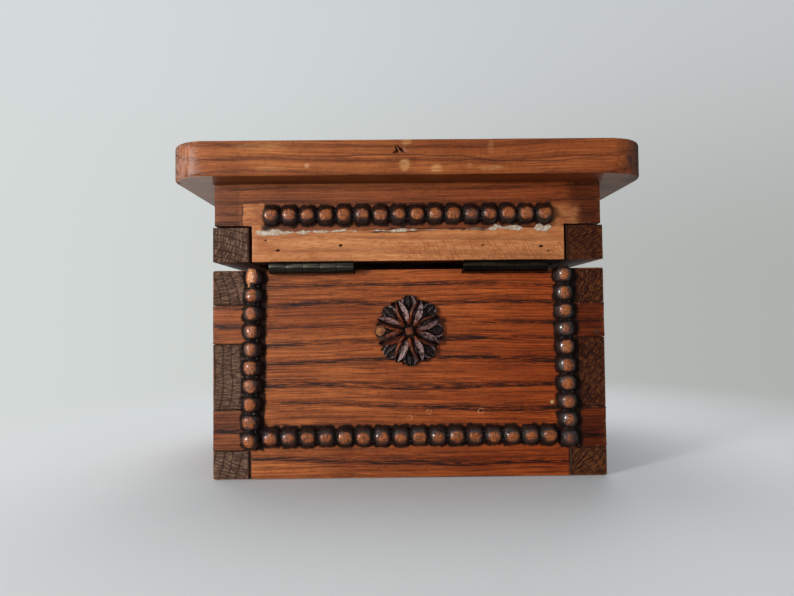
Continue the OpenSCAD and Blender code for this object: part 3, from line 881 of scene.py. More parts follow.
def pick_points(obj, test):
    """Leaves edit mode for a moment to select the vertices for which test(place) holds."""
    bpy.ops.mesh.select_all(action="DESELECT")
    bpy.ops.object.mode_set(mode="OBJECT")
    for v in obj.data.vertices:
        v.select = test(v.co)
    bpy.ops.object.mode_set(mode="EDIT")


def resize(x, y, z, middle=(0, 0, 0)):
    bpy.ops.transform.resize(value=(x, y, z), center_override=middle)


def face_outwards():
    """Selects the whole mesh in edit mode and turns its faces outwards."""
    bpy.ops.mesh.select_all(action="SELECT")
    bpy.ops.mesh.normals_make_consistent(inside=False)


def primitive(name, add, **settings):
    """Adds a primitive with nothing else selected, and puts its place into its mesh."""
    bpy.ops.object.select_all(action="DESELECT")
    add(**settings)
    made = bpy.context.object
    made.name = name
    bpy.ops.object.transform_apply()
    return made


def double(obj, name):
    take(obj)
    bpy.ops.object.duplicate()
    made = bpy.context.object
    made.name = name
    return made


def join(main, *others):
    take(main)
    for other in others:
        other.select_set(True)
    bpy.ops.object.join()


def apply_all(obj):
    take(obj)
    for modifier in list(obj.modifiers):
        bpy.ops.object.modifier_apply(modifier=modifier.name)


def keep(obj, name, values):
    """Keeps a number for each point of the mesh, which the material reads."""
    obj.data.attributes.new(name, "FLOAT", "POINT").data.foreach_set("value", values)


def bound(value):
    return min(1.0, max(0.0, value))


# %% Copies, cuts and bevels
DOUBLES = 0.002 * MM


def copy_of(node_name, piece_name):
    """A new piece with the CAD node's shape, its doubles merged and its flat faces made whole."""
    obj = bpy.data.objects.new(piece_name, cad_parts[node_name].data.copy())
    bpy.context.scene.collection.objects.link(obj)
    obj.data.materials.clear()
    edit(obj, "SELECT")
    bpy.ops.mesh.customdata_custom_splitnormals_clear()
    bpy.ops.mesh.remove_doubles(threshold=DOUBLES)
    bpy.ops.mesh.dissolve_limited(angle_limit=math.radians(0.5))
    done()
    return obj


def cut_across(obj, axis, low, high, step):
    """Cuts the mesh by parallel planes, so that its faces are small enough to bend."""
    edit(obj)
    count = max(1, round((high - low) / step))
    normal = tuple(1.0 if i == axis else 0.0 for i in range(3))
    for k in range(1, count):
        at = [0.0, 0.0, 0.0]
        at[axis] = low + (high - low) * k / count
        bpy.ops.mesh.select_all(action="SELECT")
        bpy.ops.mesh.bisect(plane_co=at, plane_no=normal)
    done()


def bevel_edges(board, test, width, segments):
    """Bevels the sharp edges between a and b for which test(a, b) holds."""
    edit(board)
    bpy.ops.mesh.select_mode(type="EDGE")
    bpy.ops.mesh.edges_select_sharp(sharpness=math.radians(60))
    bpy.ops.object.mode_set(mode="OBJECT")
    for e in board.data.edges:
        e.select = e.select and test(*(board.data.vertices[i].co for i in e.vertices))
    bpy.ops.object.mode_set(mode="EDIT")
    bpy.ops.mesh.bevel(offset=width, segments=segments, affect="EDGES", clamp_overlap=True)
    done()


def cut_away(board, cutters):
    """Takes the cutters out of the board, then removes them."""
    for cutter in cutters:
        take(board)
        cut = board.modifiers.new("cut", "BOOLEAN")
        cut.operation = "DIFFERENCE"
        cut.object = cutter
        cut.solver = "EXACT"
        bpy.ops.object.modifier_apply(modifier=cut.name)
        bpy.data.objects.remove(cutter)


# %% [markdown]
# ## Boards
#
# A board starts as a copy of its CAD node, because the fingers, grooves and hinge seats
# have to fit to a tenth of a millimetre. Its edges are eased with a small bevel, then the
# faces are cut into a fine grid, and two Displace modifiers with cloud textures give the
# slow waves of hand planing and the knocks that edges collect. Edges inside a joint are
# hardly knocked, because the other board guards them. Nail holes and the knot are small
# pits that a Boolean takes out.

# %% Wear
def clouds(name, size):
    made = bpy.data.textures.new(name, "CLOUDS")
    made.noise_scale = size
    made.noise_depth = 2
    return made


planing = clouds("planing", 0.02)
knocks = clouds("knocks", 0.0045)
tool_marks = clouds("tool_marks", 0.0016)


def displace(obj, name, texture, depth, group, space):
    """Takes up to depth off the surface, where the vertex group is full."""
    modifier = obj.modifiers.new(name, "DISPLACE")
    modifier.texture = texture
    modifier.strength = depth
    modifier.mid_level = 1.0
    modifier.texture_coords = space
    modifier.vertex_group = group


def mark_edges(obj):
    """Puts the vertices of sharp edges in a vertex group and in the attribute that the wear reads."""
    edit(obj)
    bpy.ops.mesh.select_mode(type="EDGE")
    bpy.ops.mesh.edges_select_sharp(sharpness=math.radians(20))
    bpy.ops.mesh.select_mode(type="VERT")
    done()
    edges = obj.vertex_groups.new(name="edges")
    values = [1.0 if v.select else 0.0 for v in obj.data.vertices]
    for v, value in zip(obj.data.vertices, values):
        tight = any(abs(v.co.z - z) < 0.5 * MM for z in RIGHT_JOINTS + LEFT_JOINTS)
        edges.add([v.index], value * (0.15 if tight else 1.0), "REPLACE")
    keep(obj, "edge", values)


def finish_piece(obj, body, node_name, material, smooth=35):
    obj.data.materials.clear()
    obj.data.materials.append(material)
    take(obj)
    bpy.ops.object.shade_smooth_by_angle(angle=math.radians(smooth))
    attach(obj, body)
    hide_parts(node_name)
    obj.data.calc_loop_triangles()
    print(obj.name, len(obj.data.loop_triangles), "triangles")


# %% Pits
NAIL_HOLES = ((0.0657, 0.1090, 0.7), (0.0600, 0.1044, 1.2), (0.0311, 0.1064, 1.2), (-0.0346, 0.1060, 0.8),
              (-0.0615, 0.1053, 1.2), (-0.0646, 0.1031, 0.7))
nail_pits = [(x, HALF_D, z, long * MM, long * 0.5 * MM, 2.2 * MM, 0.1) for x, z, long in NAIL_HOLES]
knot_pits = [(0.0030, SLAB_BACK, 0.1463, 2.7 * MM, 0.75 * MM, 1.5 * MM, -0.78),
             (0.0050, SLAB_BACK, 0.1462, 2.0 * MM, 0.5 * MM, 1.2 * MM, -1.25),
             (0.0056, SLAB_BACK, 0.1452, 1.9 * MM, 0.45 * MM, 1.0 * MM, 0.35)]


def wedge_pit(x, y, z, long, wide, deep, turn):
    """A narrow four-sided pit into a face that looks along +Y."""
    pit = primitive("pit", bpy.ops.mesh.primitive_cone_add, vertices=4, radius1=1.0, radius2=0.0, depth=1.0,
                    rotation=(math.pi / 2, 0, 0))
    pit.scale = (long, deep, wide)
    pit.rotation_euler = (0, turn, 0)
    pit.location = (x, y - deep * 0.5 + 0.02 * MM, z)
    bpy.ops.object.transform_apply()
    return pit


def depth_in_pits(board, back, pits):
    """0 on the face and 1 well inside a pit, for each point."""
    def depth(p):
        near = any(abs(p.x - x) < 1.2 * long and abs(p.z - z) < 1.2 * long for x, _, z, long, *_ in pits)
        return bound((back - 0.25 * MM - p.y) / (0.5 * MM)) if near and p.y > back - 2.9 * MM else 0.0

    return [depth(v.co) for v in board.data.vertices]


print("nail pits:", len(nail_pits), "knot pits:", len(knot_pits))


# %% One board
RIM_Z = 95.2 * MM


def at_end(a, b):
    """True for an edge on the outer face of a side board."""
    return abs(a.x + b.x) > 2 * (HALF_W - 0.1 * MM)


def at_foot(a, b):
    return max(a.z, b.z) < 0.1 * MM and at_end(a, b)


def at_rim(a, b):
    return min(a.z, b.z) > RIM_Z - 0.1 * MM and max(a.z, b.z) < RIM_Z + 0.8 * MM and at_end(a, b)


def long_edge(a, b):
    return (a - b).length > 1.9 * MM


def make_board(node_name, body, step=3 * MM, ease=0.16 * MM, knock=0.30 * MM, pits=()):
    low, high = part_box(node_name)
    board = copy_of(node_name, node_name + "_worn")
    if node_name in ("box_left_board", "box_right_board"):
        bevel_edges(board, at_foot, 1.5 * MM, 4)
        bevel_edges(board, at_rim, 0.9 * MM, 3)
    bevel_edges(board, long_edge, ease, 2)
    cut_away(board, [wedge_pit(*pit) for pit in pits])
    for axis in range(3):
        cut_across(board, axis, low[axis], high[axis], step)
    mark_edges(board)
    keep(board, "pit", depth_in_pits(board, high.y, pits))
    displace(board, "waves", planing, 0.10 * MM, "", "LOCAL")
    displace(board, "knocks", knocks, knock, "edges", "LOCAL")
    apply_all(board)
    finish_piece(board, body, node_name, oak_of[node_name])


# %% Make the boards
for side in ("back", "front", "left", "right"):
    make_board(f"box_{side}_board", "box")
make_board("box_bottom_panel", "box", step=6 * MM)
for side in ("back", "front", "left", "right"):
    make_board(f"lid_{side}_board", "lid", pits=nail_pits if side == "back" else ())
make_board("lid_slab", "lid", step=3.5 * MM, ease=0.3 * MM, knock=0.6 * MM, pits=knot_pits)

# %% [markdown]
# ## Stained and rubbed carving
#
# The beads and rosettes were stained nearly black, and hands have rubbed the crests back to
# red-brown wood. Each point keeps its height on the bench in the attribute crest, which on
# the beads is moved to one side as painted light, and noise breaks the edge between stain
# and wood. A pale painted sheen on some sides of the carving stands in for reflections, bare
# is fresh wood where a piece broke off, and bench is the place on the bench, with the grain
# along x. A coat that comes and goes gives the small sharp glints of old shellac.

# %% Stained and rubbed material
def carving_material(name, low, mid, high, dark, brown, orange, sheen_colour, gloss):
    """Dark below low, brown round mid and orange above high."""
    material, tree, shader = new_material(name)
    bench = attribute(tree, "bench", "Vector")
    patch = speckle(bench, (230, 330, 330), 3.0, 0.65)
    fine = most(speckle(bench, (320, 2200, 2200), 2.0, 0.6), speckle(bench, (1500, 260, 260), 2.0, 0.6))
    chips = speckle(bench, 900, 2.0, 0.6)
    lighter = attribute(tree, "crest") + (patch - 0.5) * 0.85 + (chips - 0.5) * 0.45
    colour = lay(lighter.between(low, mid), dark, brown)
    colour = lay(lighter.between(mid, high), colour, orange)
    colour = lay(fine.between(0.53, 0.63) * 0.75, colour, (0.028, 0.008, 0.005))
    # Painted sheen: a pale colour where the attribute for it is set, standing in for reflections.
    painted_sheen_share = attribute(tree, "painted_sheen") * ((chips + patch) * 0.5).between(0.42, 0.57)
    colour = lay(painted_sheen_share, colour, sheen_colour)
    wood = lay(patch.between(0.42, 0.56), (0.50, 0.205, 0.072), (0.22, 0.072, 0.036))
    colour = lay(attribute(tree, "bare").between(0.35, 0.65), colour, wood)
    height = patch * 1.2 + (chips + fine * 0.5)
    feed_named(shader, {"Base_Color": colour, "Roughness": patch * 0.36 + 0.22,
                        "Normal": bump(height, 1.0, 0.45 * MM),
                        "Specular_IOR_Level": 0.55 * gloss, "Coat_Roughness": 0.21,
                        "Coat_Weight": patch.between(0.60, 0.44, 0.0, 1.3 * gloss)})
    return material


# The last colour of each is its painted sheen.
beading = carving_material("stained_beading", 0.20, 0.44, 0.74, (0.006, 0.004, 0.0035), (0.060, 0.016, 0.006),
                           (0.270, 0.074, 0.017), (0.14, 0.11, 0.10), 0.45)
carving = carving_material("stained_carving", 0.34, 0.66, 0.96, (0.004, 0.003, 0.003), (0.050, 0.011, 0.006),
                           (0.165, 0.037, 0.013), (0.235, 0.160, 0.158), 0.17)
print("carving materials:", beading.name, carving.name)

# %% [markdown]
# ## Beading
#
# The strips are split turnings: beads turned on a lathe, then cut in half lengthwise. One
# bead starts as an open tube along X, is cut in half, and gets rings that are drawn in to
# the bead's outline. An Array modifier repeats it. Then every bead is shrunk and turned a
# little, its crest is worn flat, and three knocks are pressed in, each by chance.

# %% One half bead
BEAD_OUTLINE = ((0.0, 4.76), (1.15, 4.69), (2.1, 4.44), (2.8, 4.05), (3.3, 3.54), (3.65, 3.0), (3.92, 2.55),
                (4.125, 2.25))
BEAD_SIDES = 24


def half_bead():
    bead = primitive("bead", bpy.ops.mesh.primitive_cylinder_add, vertices=BEAD_SIDES, radius=BEAD_HALF,
                     depth=BEAD, end_fill_type="NOTHING", rotation=(0, math.pi / 2, 0))
    stations = sorted({s * x * MM for x, _ in BEAD_OUTLINE for s in (-1, 1)})
    edit(bead)
    for x in stations[1:-1]:
        bpy.ops.mesh.select_all(action="SELECT")
        bpy.ops.mesh.bisect(plane_co=(x, 0, 0), plane_no=(1, 0, 0))
    bpy.ops.mesh.select_all(action="SELECT")
    bpy.ops.mesh.bisect(plane_co=(0, 0, 0), plane_no=(0, 0, 1), clear_inner=True)
    for x, radius in BEAD_OUTLINE:
        scale = radius * MM / BEAD_HALF
        for middle in {-x * MM, x * MM}:
            pick_points(bead, lambda co: abs(co.x - middle) < 0.03 * MM)
            resize(1, scale, scale, (middle, 0, 0))
    done()
    return bead


pattern_bead = half_bead()
print("bead faces:", len(pattern_bead.data.polygons))

# %% A strip of worn beads
chance = random.Random(7)
REACH = 0.47 * BEAD
WORN_LOW, WORN_HIGH = 4.15, 4.50


def wear_bead(strip, middle):
    """Shrinks and turns one bead, wears its crest flat and knocks it three times."""
    pick_points(strip, lambda co: abs(co.x - middle) < REACH)
    resize(chance.uniform(0.97, 1.0), chance.uniform(0.94, 1.0), chance.uniform(0.95, 1.0), (middle, 0, 0))
    bpy.ops.transform.rotate(value=math.radians(chance.uniform(-4, 4)), orient_axis="Z",
                             center_override=(middle, 0, 0))
    worn_to = chance.uniform(WORN_LOW, WORN_HIGH) * MM
    lean = chance.uniform(-0.10, 0.10)
    pick_points(strip, lambda co: abs(co.x - middle) < REACH and co.z > worn_to + lean * co.y)
    resize(1, 1, 0.35, (middle, 0, worn_to))
    for _ in range(3):
        tilt = chance.uniform(-1.2, 1.2)
        swing = chance.uniform(-0.5, 0.5)
        reach = chance.uniform(WORN_LOW, WORN_HIGH) * MM
        way = Vector((math.sin(swing), math.sin(tilt) * math.cos(swing), math.cos(tilt) * math.cos(swing)))
        core = Vector((middle, 0, 0))
        pick_points(strip, lambda co: abs(co.x - middle) < 0.4 * BEAD and (co - core).dot(way) > reach)
        bpy.ops.transform.translate(value=way * -chance.uniform(0.10, 0.25) * MM)


def bead_strip(name, count, chipped):
    strip = double(pattern_bead, name)
    array = strip.modifiers.new("row", "ARRAY")
    array.count = count
    array.use_relative_offset = False
    array.use_constant_offset = True
    array.constant_offset_displace = (BEAD, 0, 0)
    array.use_merge_vertices = True
    array.merge_threshold = 0.01 * MM
    apply_all(strip)
    start = -(count - 1) * BEAD / 2
    edit(strip, "SELECT")
    bpy.ops.transform.translate(value=(start, 0, 0))
    for k in range(count):
        wear_bead(strip, start + k * BEAD)
    if chipped:
        pick_points(strip, lambda co: co.x > start + (count - 1.45) * BEAD and co.y > 1.1 * MM)
        resize(1, 0.75, 0.72, (0, 1.1 * MM, 0))
    for end in (-1, 1):
        pick_points(strip, lambda co: abs(co.x - end * count * BEAD / 2) < 0.05 * MM)
        bpy.ops.mesh.edge_face_add()
    bpy.ops.mesh.select_all(action="DESELECT")
    bpy.ops.mesh.select_non_manifold(extend=False)
    bpy.ops.mesh.edge_face_add()
    face_outwards()
    done()
    return strip


# %% [markdown]
# The beads stand on a thin flat ground, which the turner leaves so that the strip can be
# glued. A strip is made on the bench, where x runs along it and z out of it. There each
# point notes its place and height for the material, with more or less rub from bead to
# bead and the rub moved to one side as painted light, and then the strip is set on its face.

# %% From the bench to the face
STRIP_W, STRIP_T = 5.2 * MM, 1.3 * MM
RUB_STEPS = 40
FACES = {"front": 0, "right": 90, "back": 180, "left": 270}


def set_on_face(obj, face, along, up, upright=False):
    """From the bench, where x runs along the face, y up and z out of it, to the face itself."""
    out = HALF_D if face in ("front", "back") else HALF_W
    flat = Matrix.Rotation(math.pi / 2, 4, "X")
    stand = Matrix.Rotation(math.pi / 2 if upright else 0.0, 4, "Z")
    turn = Matrix.Rotation(math.radians(FACES[face]), 4, "Z")
    obj.matrix_world = turn @ Matrix.Translation((along, -out, up)) @ flat @ stand
    take(obj)
    bpy.ops.object.transform_apply()


def ground_under(strip, count):
    """The flat ground that the beads were turned on, joined to the strip."""
    ground = primitive("ground", bpy.ops.mesh.primitive_cube_add, size=1, location=(0, 0, STRIP_T / 2),
                       scale=(count * BEAD - 0.2 * MM, STRIP_W, STRIP_T))
    cut_across(ground, 0, -count * BEAD / 2, count * BEAD / 2, BEAD / 3)
    join(strip, ground)


def note_bench(obj, low, high, bare=None, uneven=0.0, lean=0.0):
    """Keeps each point's place, and its height from 0 at low to 1 at high, rubbed more or less by the bead.
    uneven is half a bead for strips whose beads lie between whole steps. lean moves the rub, with its lighter
    colour, along y by its sign: painted light."""
    points = [v.co.copy() for v in obj.data.vertices]
    shift = Vector((chance.uniform(0, 3), 0, 0))
    rub = [chance.uniform(-0.16, 0.12) for _ in range(RUB_STEPS)]

    def crest(p):
        here = rub[round(p.x / BEAD + uneven) + RUB_STEPS // 2]
        # lean * p.y moves the rub to one side: painted light.
        return bound((p.z - low) / (high - low) + lean * p.y / BEAD_HALF + here)

    keep(obj, "crest", [crest(p) for p in points])
    keep(obj, "bare", [bare(p) if bare else 0.0 for p in points])
    standing = obj.vertex_groups.new(name="standing")
    for index, p in enumerate(points):
        standing.add([index], bound(p.z / MM), "REPLACE")
    flat = [c for p in points for c in p + shift]
    obj.data.attributes.new("bench", "FLOAT_VECTOR", "POINT").data.foreach_set("vector", flat)


# %% Place the strips
SIDES_OF = {"front": (("left", -1), ("right", 1)), "back": (("left", 1), ("right", -1)),
            "left": (("front", 1), ("back", -1)), "right": (("front", -1), ("back", 1))}
# How far the rub, with its lighter colour, moves across each bead: painted light. On the back it moves the
# columns' rub to +X, towards the lamp, and the rows' rub down.
COLUMN_LIGHT_SHIFT, ROW_LIGHT_SHIFT = 0.30, -0.12


def place_strip(node_name, face, body, count, along, up, upright=False, chipped=False, stretch=1.0,
                splay=0.0):
    strip = bead_strip(node_name + "_beads", count, chipped)
    ground_under(strip, count)
    # Strips get no painted sheen.
    keep(strip, "painted_sheen", [0.0] * len(strip.data.vertices))
    edit(strip, "SELECT")
    resize(stretch, 1, 1)
    bpy.ops.transform.rotate(value=splay, orient_axis="Z", center_override=(count * BEAD / 2, 0, 0))
    done()
    last = (count - 1) * BEAD / 2

    def broken(p):
        """The last bead has lost its outer side."""
        end = p.x > last - 0.30 * BEAD and p.y > -1.2 * MM
        side = p.x > last - 0.5 * BEAD and p.y > 1.6 * MM
        return 1.0 if end or side else 0.0

    # lean is the painted light shift of the rub.
    lean = COLUMN_LIGHT_SHIFT if upright else ROW_LIGHT_SHIFT
    note_bench(strip, 2.9 * MM, 4.6 * MM, broken if chipped else None, 0.5, lean)
    set_on_face(strip, face, along, up, upright)
    displace(strip, "marks", tool_marks, 0.50 * MM, "standing", "GLOBAL")
    apply_all(strip)
    finish_piece(strip, body, node_name, beading, 60)


for face in FACES:
    grain = "X" if face in ("front", "back") else "Y"
    count, back = ROW_BEADS[grain], face == "back"
    body_stretch, lid_stretch = (BACK_STRETCH, LID_BACK_STRETCH) if back else (1.0, 1.0)
    place_strip(face + "_bead_row", face, "box", count, 0, BODY_ROW_Z, stretch=body_stretch)
    place_strip(f"lid_{face}_bead_row", face, "lid", count, 0, LID_ROW_Z, stretch=lid_stretch)
    for side, sign in SIDES_OF[face]:
        place_strip(f"{face}_bead_column_{side}", face, "box", COLUMN_BEADS, sign * column_place(grain),
                    (COLUMN_FOOT + COLUMN_TOP) / 2, True, chipped=(face, side) == ("back", "right"),
                    splay=-sign * math.atan(SPLAY) if back else 0.0)
bpy.data.objects.remove(pattern_bead)

# %% [markdown]
# ## Rosettes
#
# The rosette is carved from one round. Eight petals, each with a crease that parts a lit
# side from a dark one, lie over eight broad blunt leaves with veins, with small leaves
# between their tips, and eight short ridges stand round a square boss. Every leaf starts as
# a grid. Its columns are lifted to the cross-section, then its rows are drawn in to the
# outline and moved to their distance from the middle, and its rim is carried down to the
# face.

# %% A leaf
def carve_leaf(name, stations, section):
    """Each station is a distance from the middle, a half width and a height in mm.
    The section says where each column goes and its share of the height."""
    steps, columns = len(stations) - 1, len(section) - 1
    add = bpy.ops.mesh.primitive_grid_add
    leaf = primitive(name, add, x_subdivisions=steps, y_subdivisions=columns, size=2)
    edit(leaf)
    for j, (y_new, share) in enumerate(section):
        y_now = -1 + 2 * j / columns
        pick_points(leaf, lambda co: abs(co.y - y_now) < 0.3 / columns and co.z == 0.0)
        bpy.ops.transform.translate(value=(0, y_new - y_now, share))
    for k, (reach, half, high) in enumerate(stations):
        x_now = -1 + 2 * k / steps
        pick_points(leaf, lambda co: abs(co.x - x_now) < 0.2 / steps)
        resize(1, half * MM, high * MM, (x_now, 0, 0))
        bpy.ops.transform.translate(value=(reach * MM - x_now, 0, 0))
    bpy.ops.mesh.select_all(action="SELECT")
    bpy.ops.mesh.subdivide(number_cuts=1)
    bpy.ops.mesh.region_to_loop()
    bpy.ops.mesh.extrude_edges_move(TRANSFORM_OT_translate={"value": (0, 0, 0)})
    resize(1, 1, 0)
    bpy.ops.mesh.edge_face_add()
    face_outwards()
    done()
    return leaf


# %% The shapes and places of the leaves
MAIN = (((3.0, 0.6, 3.7), (4.4, 1.4, 4.3), (6.2, 2.4, 4.7), (8.2, 2.95, 4.75), (10.4, 2.8, 4.5),
         (12.6, 2.0, 4.0), (14.4, 0.95, 3.4), (15.4, 0.08, 2.9)),
        ((-1.0, 0.78), (-0.60, 0.92), (-0.22, 0.56), (-0.06, 0.50), (0.50, 0.86), (1.0, 0.93)))
BROAD = (((3.4, 1.2, 2.4), (5.4, 2.0, 2.5), (7.4, 2.7, 2.6), (9.6, 3.15, 2.7), (11.6, 3.4, 2.6),
          (13.5, 3.25, 2.35), (15.1, 2.3, 2.0), (16.0, 0.85, 1.6)),
         ((-1.0, 0.95), (-0.74, 1.0), (-0.42, 0.58), (-0.12, 0.70), (0.0, 1.0), (0.12, 0.70),
          (0.42, 0.58), (0.74, 1.0), (1.0, 0.95)))
THORN = (((8.0, 0.8, 2.1), (9.6, 1.1, 2.3), (11.0, 1.15, 2.3), (12.2, 1.0, 2.2), (13.2, 0.8, 2.0),
          (14.2, 0.52, 1.8), (15.0, 0.28, 1.5), (15.8, 0.04, 1.2)),
         ((-1.0, 0.5), (-0.2, 1.0), (0.4, 0.75), (1.0, 0.5)))
RIDGE = (((2.7, 0.40, 3.9), (3.3, 0.95, 4.6), (4.1, 1.35, 4.76), (5.1, 1.5, 4.76), (6.1, 1.35, 4.6),
          (7.0, 1.0, 4.3), (7.7, 0.5, 3.8), (8.2, 0.08, 3.3)),
         ((-1.0, 0.55), (-0.2, 1.0), (0.3, 0.9), (1.0, 0.6)))
EIGHTHS = [45 * k for k in range(8)]
# A leaf is its name, its shape, its turns and its share of painted sheen.
LEAVES = (("broad", BROAD, EIGHTHS, 0.8),
          ("thorn", THORN, [a + b for a in EIGHTHS for b in (-11, 11)], 0.7),
          ("main", MAIN, [22.5 + a for a in EIGHTHS], 1.0), ("ridge", RIDGE, EIGHTHS, 0.55))
MIRRORED = (112.5, 157.5, 202.5)
# How much painted sheen each main petal gets by its turn, as reflections differ with the way it faces.
PAINTED_SHEEN = {22.5: 0.75, 67.5: 0.35, 112.5: 0.60, 157.5: 0.80, 202.5: 0.85, 247.5: 0.15, 292.5: 0.65, 337.5: 0.95}


print("leaves:", sum(len(turns) for _, _, turns, _ in LEAVES))


def painted_sheen_on(name, x, side):
    """Where painted sheen lies on a leaf, standing in for reflections: one side of a main petal, one edge of
    a ridge, and the edges and vein of the other leaves. side goes from -1 to 1 across it.
    """
    if name == "main":
        return bound((side + 0.02) * 6) if x > 4.4 * MM else 0.0
    if name == "ridge":
        return 1.0 if side > 0.7 else 0.0
    return 0.9 if abs(side) > 0.7 or abs(side) < 0.08 else 0.0


# Notes on each point of a leaf its share of painted sheen.
def note_painted_sheen(leaf, name, painted_sheen):
    points = [v.co for v in leaf.data.vertices]
    values = []
    for p in points:
        half = max(0.05 * MM, max(abs(q.y) for q in points if abs(q.x - p.x) < 0.2 * MM))
        values.append(painted_sheen * painted_sheen_on(name, p.x, p.y / half) if p.z > 1.2 * MM else 0.0)
    keep(leaf, "painted_sheen", values)


# %% The rosette
def turned_leaf(first, turn):
    """A copy of the leaf at its place in the round, a little different each time."""
    one = double(first, "leaf")
    longer, wider, higher = (chance.uniform(*a) for a in ((0.985, 1.03), (0.90, 1.04), (0.94, 1.0)))
    size = Matrix.Diagonal((longer, wider, higher, 1.0))
    flip = Matrix.Diagonal((1, 1 if turn in MIRRORED else -1, 1, 1))
    # Each turn gets its own share of painted sheen.
    for value in one.data.attributes["painted_sheen"].data:
        value.value *= PAINTED_SHEEN.get(turn, 1.0)
    heading = math.radians(90 - turn + chance.uniform(-1.8, 1.8))
    one.matrix_world = Matrix.Rotation(heading, 4, "Z") @ size @ flip
    bpy.ops.object.transform_apply()
    edit(one, "SELECT")
    face_outwards()
    done()
    return one


def boss_and_ground():
    add = bpy.ops.mesh.primitive_cylinder_add
    boss = primitive("boss", add, vertices=4, radius=2.55 * MM, depth=4.1 * MM,
                     location=(0, 0, 2.05 * MM), rotation=(0, 0, math.radians(57)))
    edit(boss, "SELECT")
    bpy.ops.mesh.bevel(offset=0.45 * MM, segments=2, affect="EDGES")
    done()
    ground = primitive("disc", add, vertices=40, radius=ROSETTE_REACH, depth=1.3 * MM,
                       location=(0, 0, 0.65 * MM))
    # The boss and the ground get no painted sheen.
    for piece in (boss, ground):
        keep(piece, "painted_sheen", [0.0] * len(piece.data.vertices))
    return [boss, ground]


def rosette_pattern():
    """Petals stand clockwise from the top, seen from outside."""
    parts = []
    for name, (stations, section), turns, painted_sheen in LEAVES:
        first = carve_leaf(name, stations, section)
        note_painted_sheen(first, name, painted_sheen)
        parts += [turned_leaf(first, turn) for turn in turns]
        bpy.data.objects.remove(first)
    parts += boss_and_ground()
    join(*parts)
    return parts[0]


pattern_rosette = rosette_pattern()
print("rosette faces:", len(pattern_rosette.data.polygons))

# %% Set the rosettes
STUMP_X, STUMP_Y, STUMP_R = -13.2 * MM, 0.4 * MM, 2.5 * MM
CHIPS = ((STUMP_X, STUMP_Y, STUMP_R), (-14.3 * MM, -5.9 * MM, 0.8 * MM), (-11.5 * MM, -11.3 * MM, 0.8 * MM))


def chip(p):
    """The pale chips on the back rosette: a broken petal tip at +X, and two small ones below it."""
    return 0.52 if p.z > 1.0 * MM and any(math.hypot(p.x - x, p.y - y) < r for x, y, r in CHIPS) else 0.0


def break_tip(flower):
    """Presses the broken tip flat and joins a short stump in its place."""
    edit(flower)
    pick_points(flower, lambda co: math.hypot(co.x - STUMP_X, co.y - STUMP_Y) < STUMP_R and co.z > 1.6 * MM)
    resize(1, 1, 0.1, (0, 0, 1.6 * MM))
    done()
    stump = primitive("stump", bpy.ops.mesh.primitive_cylinder_add, vertices=9, radius=2.35 * MM,
                      depth=2.0 * MM, location=(STUMP_X, STUMP_Y, 1.0 * MM), rotation=(0.05, 0.10, 0))
    edit(stump)
    pick_points(stump, lambda co: co.z < 0.6 * MM)
    resize(1, 1, 0)
    done()
    join(flower, stump)


for face in FACES:
    flower = double(pattern_rosette, face + "_rosette_carved")
    if face == "back":
        break_tip(flower)
    note_bench(flower, 1.2 * MM, 4.9 * MM, chip if face == "back" else None)
    set_on_face(flower, face, 0, ROSETTE_Z)
    displace(flower, "marks", tool_marks, 0.30 * MM, "standing", "GLOBAL")
    apply_all(flower)
    finish_piece(flower, "box", face + "_rosette", carving, 32)
bpy.data.objects.remove(pattern_rosette)

# %% [markdown]
# ## Hinges, pins, screws and sprigs
#
# These small metal pieces keep their CAD shape. Weld joins the loose triangles, and a live
# Bevel takes the sharpness off. The brass has gone olive black, with a painted highlight
# along the knuckles where they stand out furthest, and the hinge at -X is the darker one.
# The steel is dull.

# %% Old metal
# Where the painted highlight runs along the hinge knuckles, in y and z.
HIGHLIGHT_Y, HIGHLIGHT_Z = 0.0700, 0.0966
SOFT_ANGLE = math.radians(40)


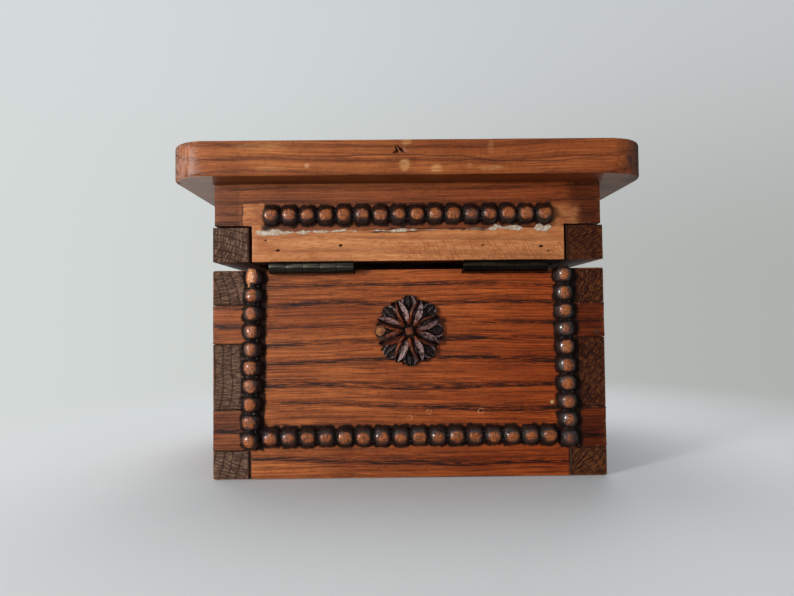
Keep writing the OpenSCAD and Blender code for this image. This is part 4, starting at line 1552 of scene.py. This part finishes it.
def metal_material(name, dark, worn, metallic, rough, long=350, lighter=0.0):
    material, tree, shader = new_material(name)
    place = coordinate(tree)
    part = split(place)
    patch = speckle(place, (long, 700, 700), 4.0, 0.6)
    fine = speckle(place, 2600)
    colour = lay(patch.between(0.45, 0.72), dark, worn)
    colour = lay(fine * 0.4, colour, (0.02, 0.018, 0.014))
    # Painted highlight: a paler line along the front of the knuckles, where a lamp's reflection would run.
    painted_band = part["Z"].near(HIGHLIGHT_Z, 0.3 * MM, 1.2 * MM) * (part["Y"] > HIGHLIGHT_Y)
    painted_band = painted_band * patch.between(0.44, 0.54, 0.15, 1.0)
    colour = lay(painted_band * lighter, colour, (0.155, 0.140, 0.108))
    colour = lay(part["X"].between(0.01, -0.01), colour, (0.27, 0.20, 0.16), "MULTIPLY")
    feed_named(shader, {"Base_Color": colour, "Roughness": patch * 0.25 + rough, "Metallic": metallic,
                        "Normal": bump(patch + fine, 0.35, 0.1 * MM)})
    return material


# The brass gets the painted highlight, the steel none.
old_brass = metal_material("old_brass", (0.010, 0.009, 0.0065), (0.052, 0.045, 0.032), 0.9, 0.12, 50, 0.7)
old_steel = metal_material("old_steel", (0.05, 0.044, 0.040), (0.16, 0.145, 0.13), 0.8, 0.34)


def soften(node_name, material, width):
    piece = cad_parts[node_name]
    piece.data.materials.clear()
    piece.data.materials.append(material)
    weld = piece.modifiers.new("weld", "WELD")
    weld.merge_threshold = DOUBLES
    bevel = piece.modifiers.new("ease", "BEVEL")
    bevel.width = width
    bevel.segments = 2
    bevel.limit_method = "ANGLE"
    bevel.angle_limit = SOFT_ANGLE
    take(piece)
    bpy.ops.object.shade_smooth_by_angle(angle=SOFT_ANGLE)


for side in ("left", "right"):
    soften("box_hinge_leaf_" + side, old_brass, 0.05 * MM)
    soften("lid_hinge_leaf_" + side, old_brass, 0.05 * MM)
    soften("hinge_pin_" + side, old_steel, 0.2 * MM)
for body in ("box", "lid"):
    soften(body + "_hinge_screws", old_steel, 0.08 * MM)
    soften(body + "_bead_sprigs", old_steel, 0.06 * MM)
print("metal pieces softened:", sum("weld" in piece.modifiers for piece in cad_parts.values()))
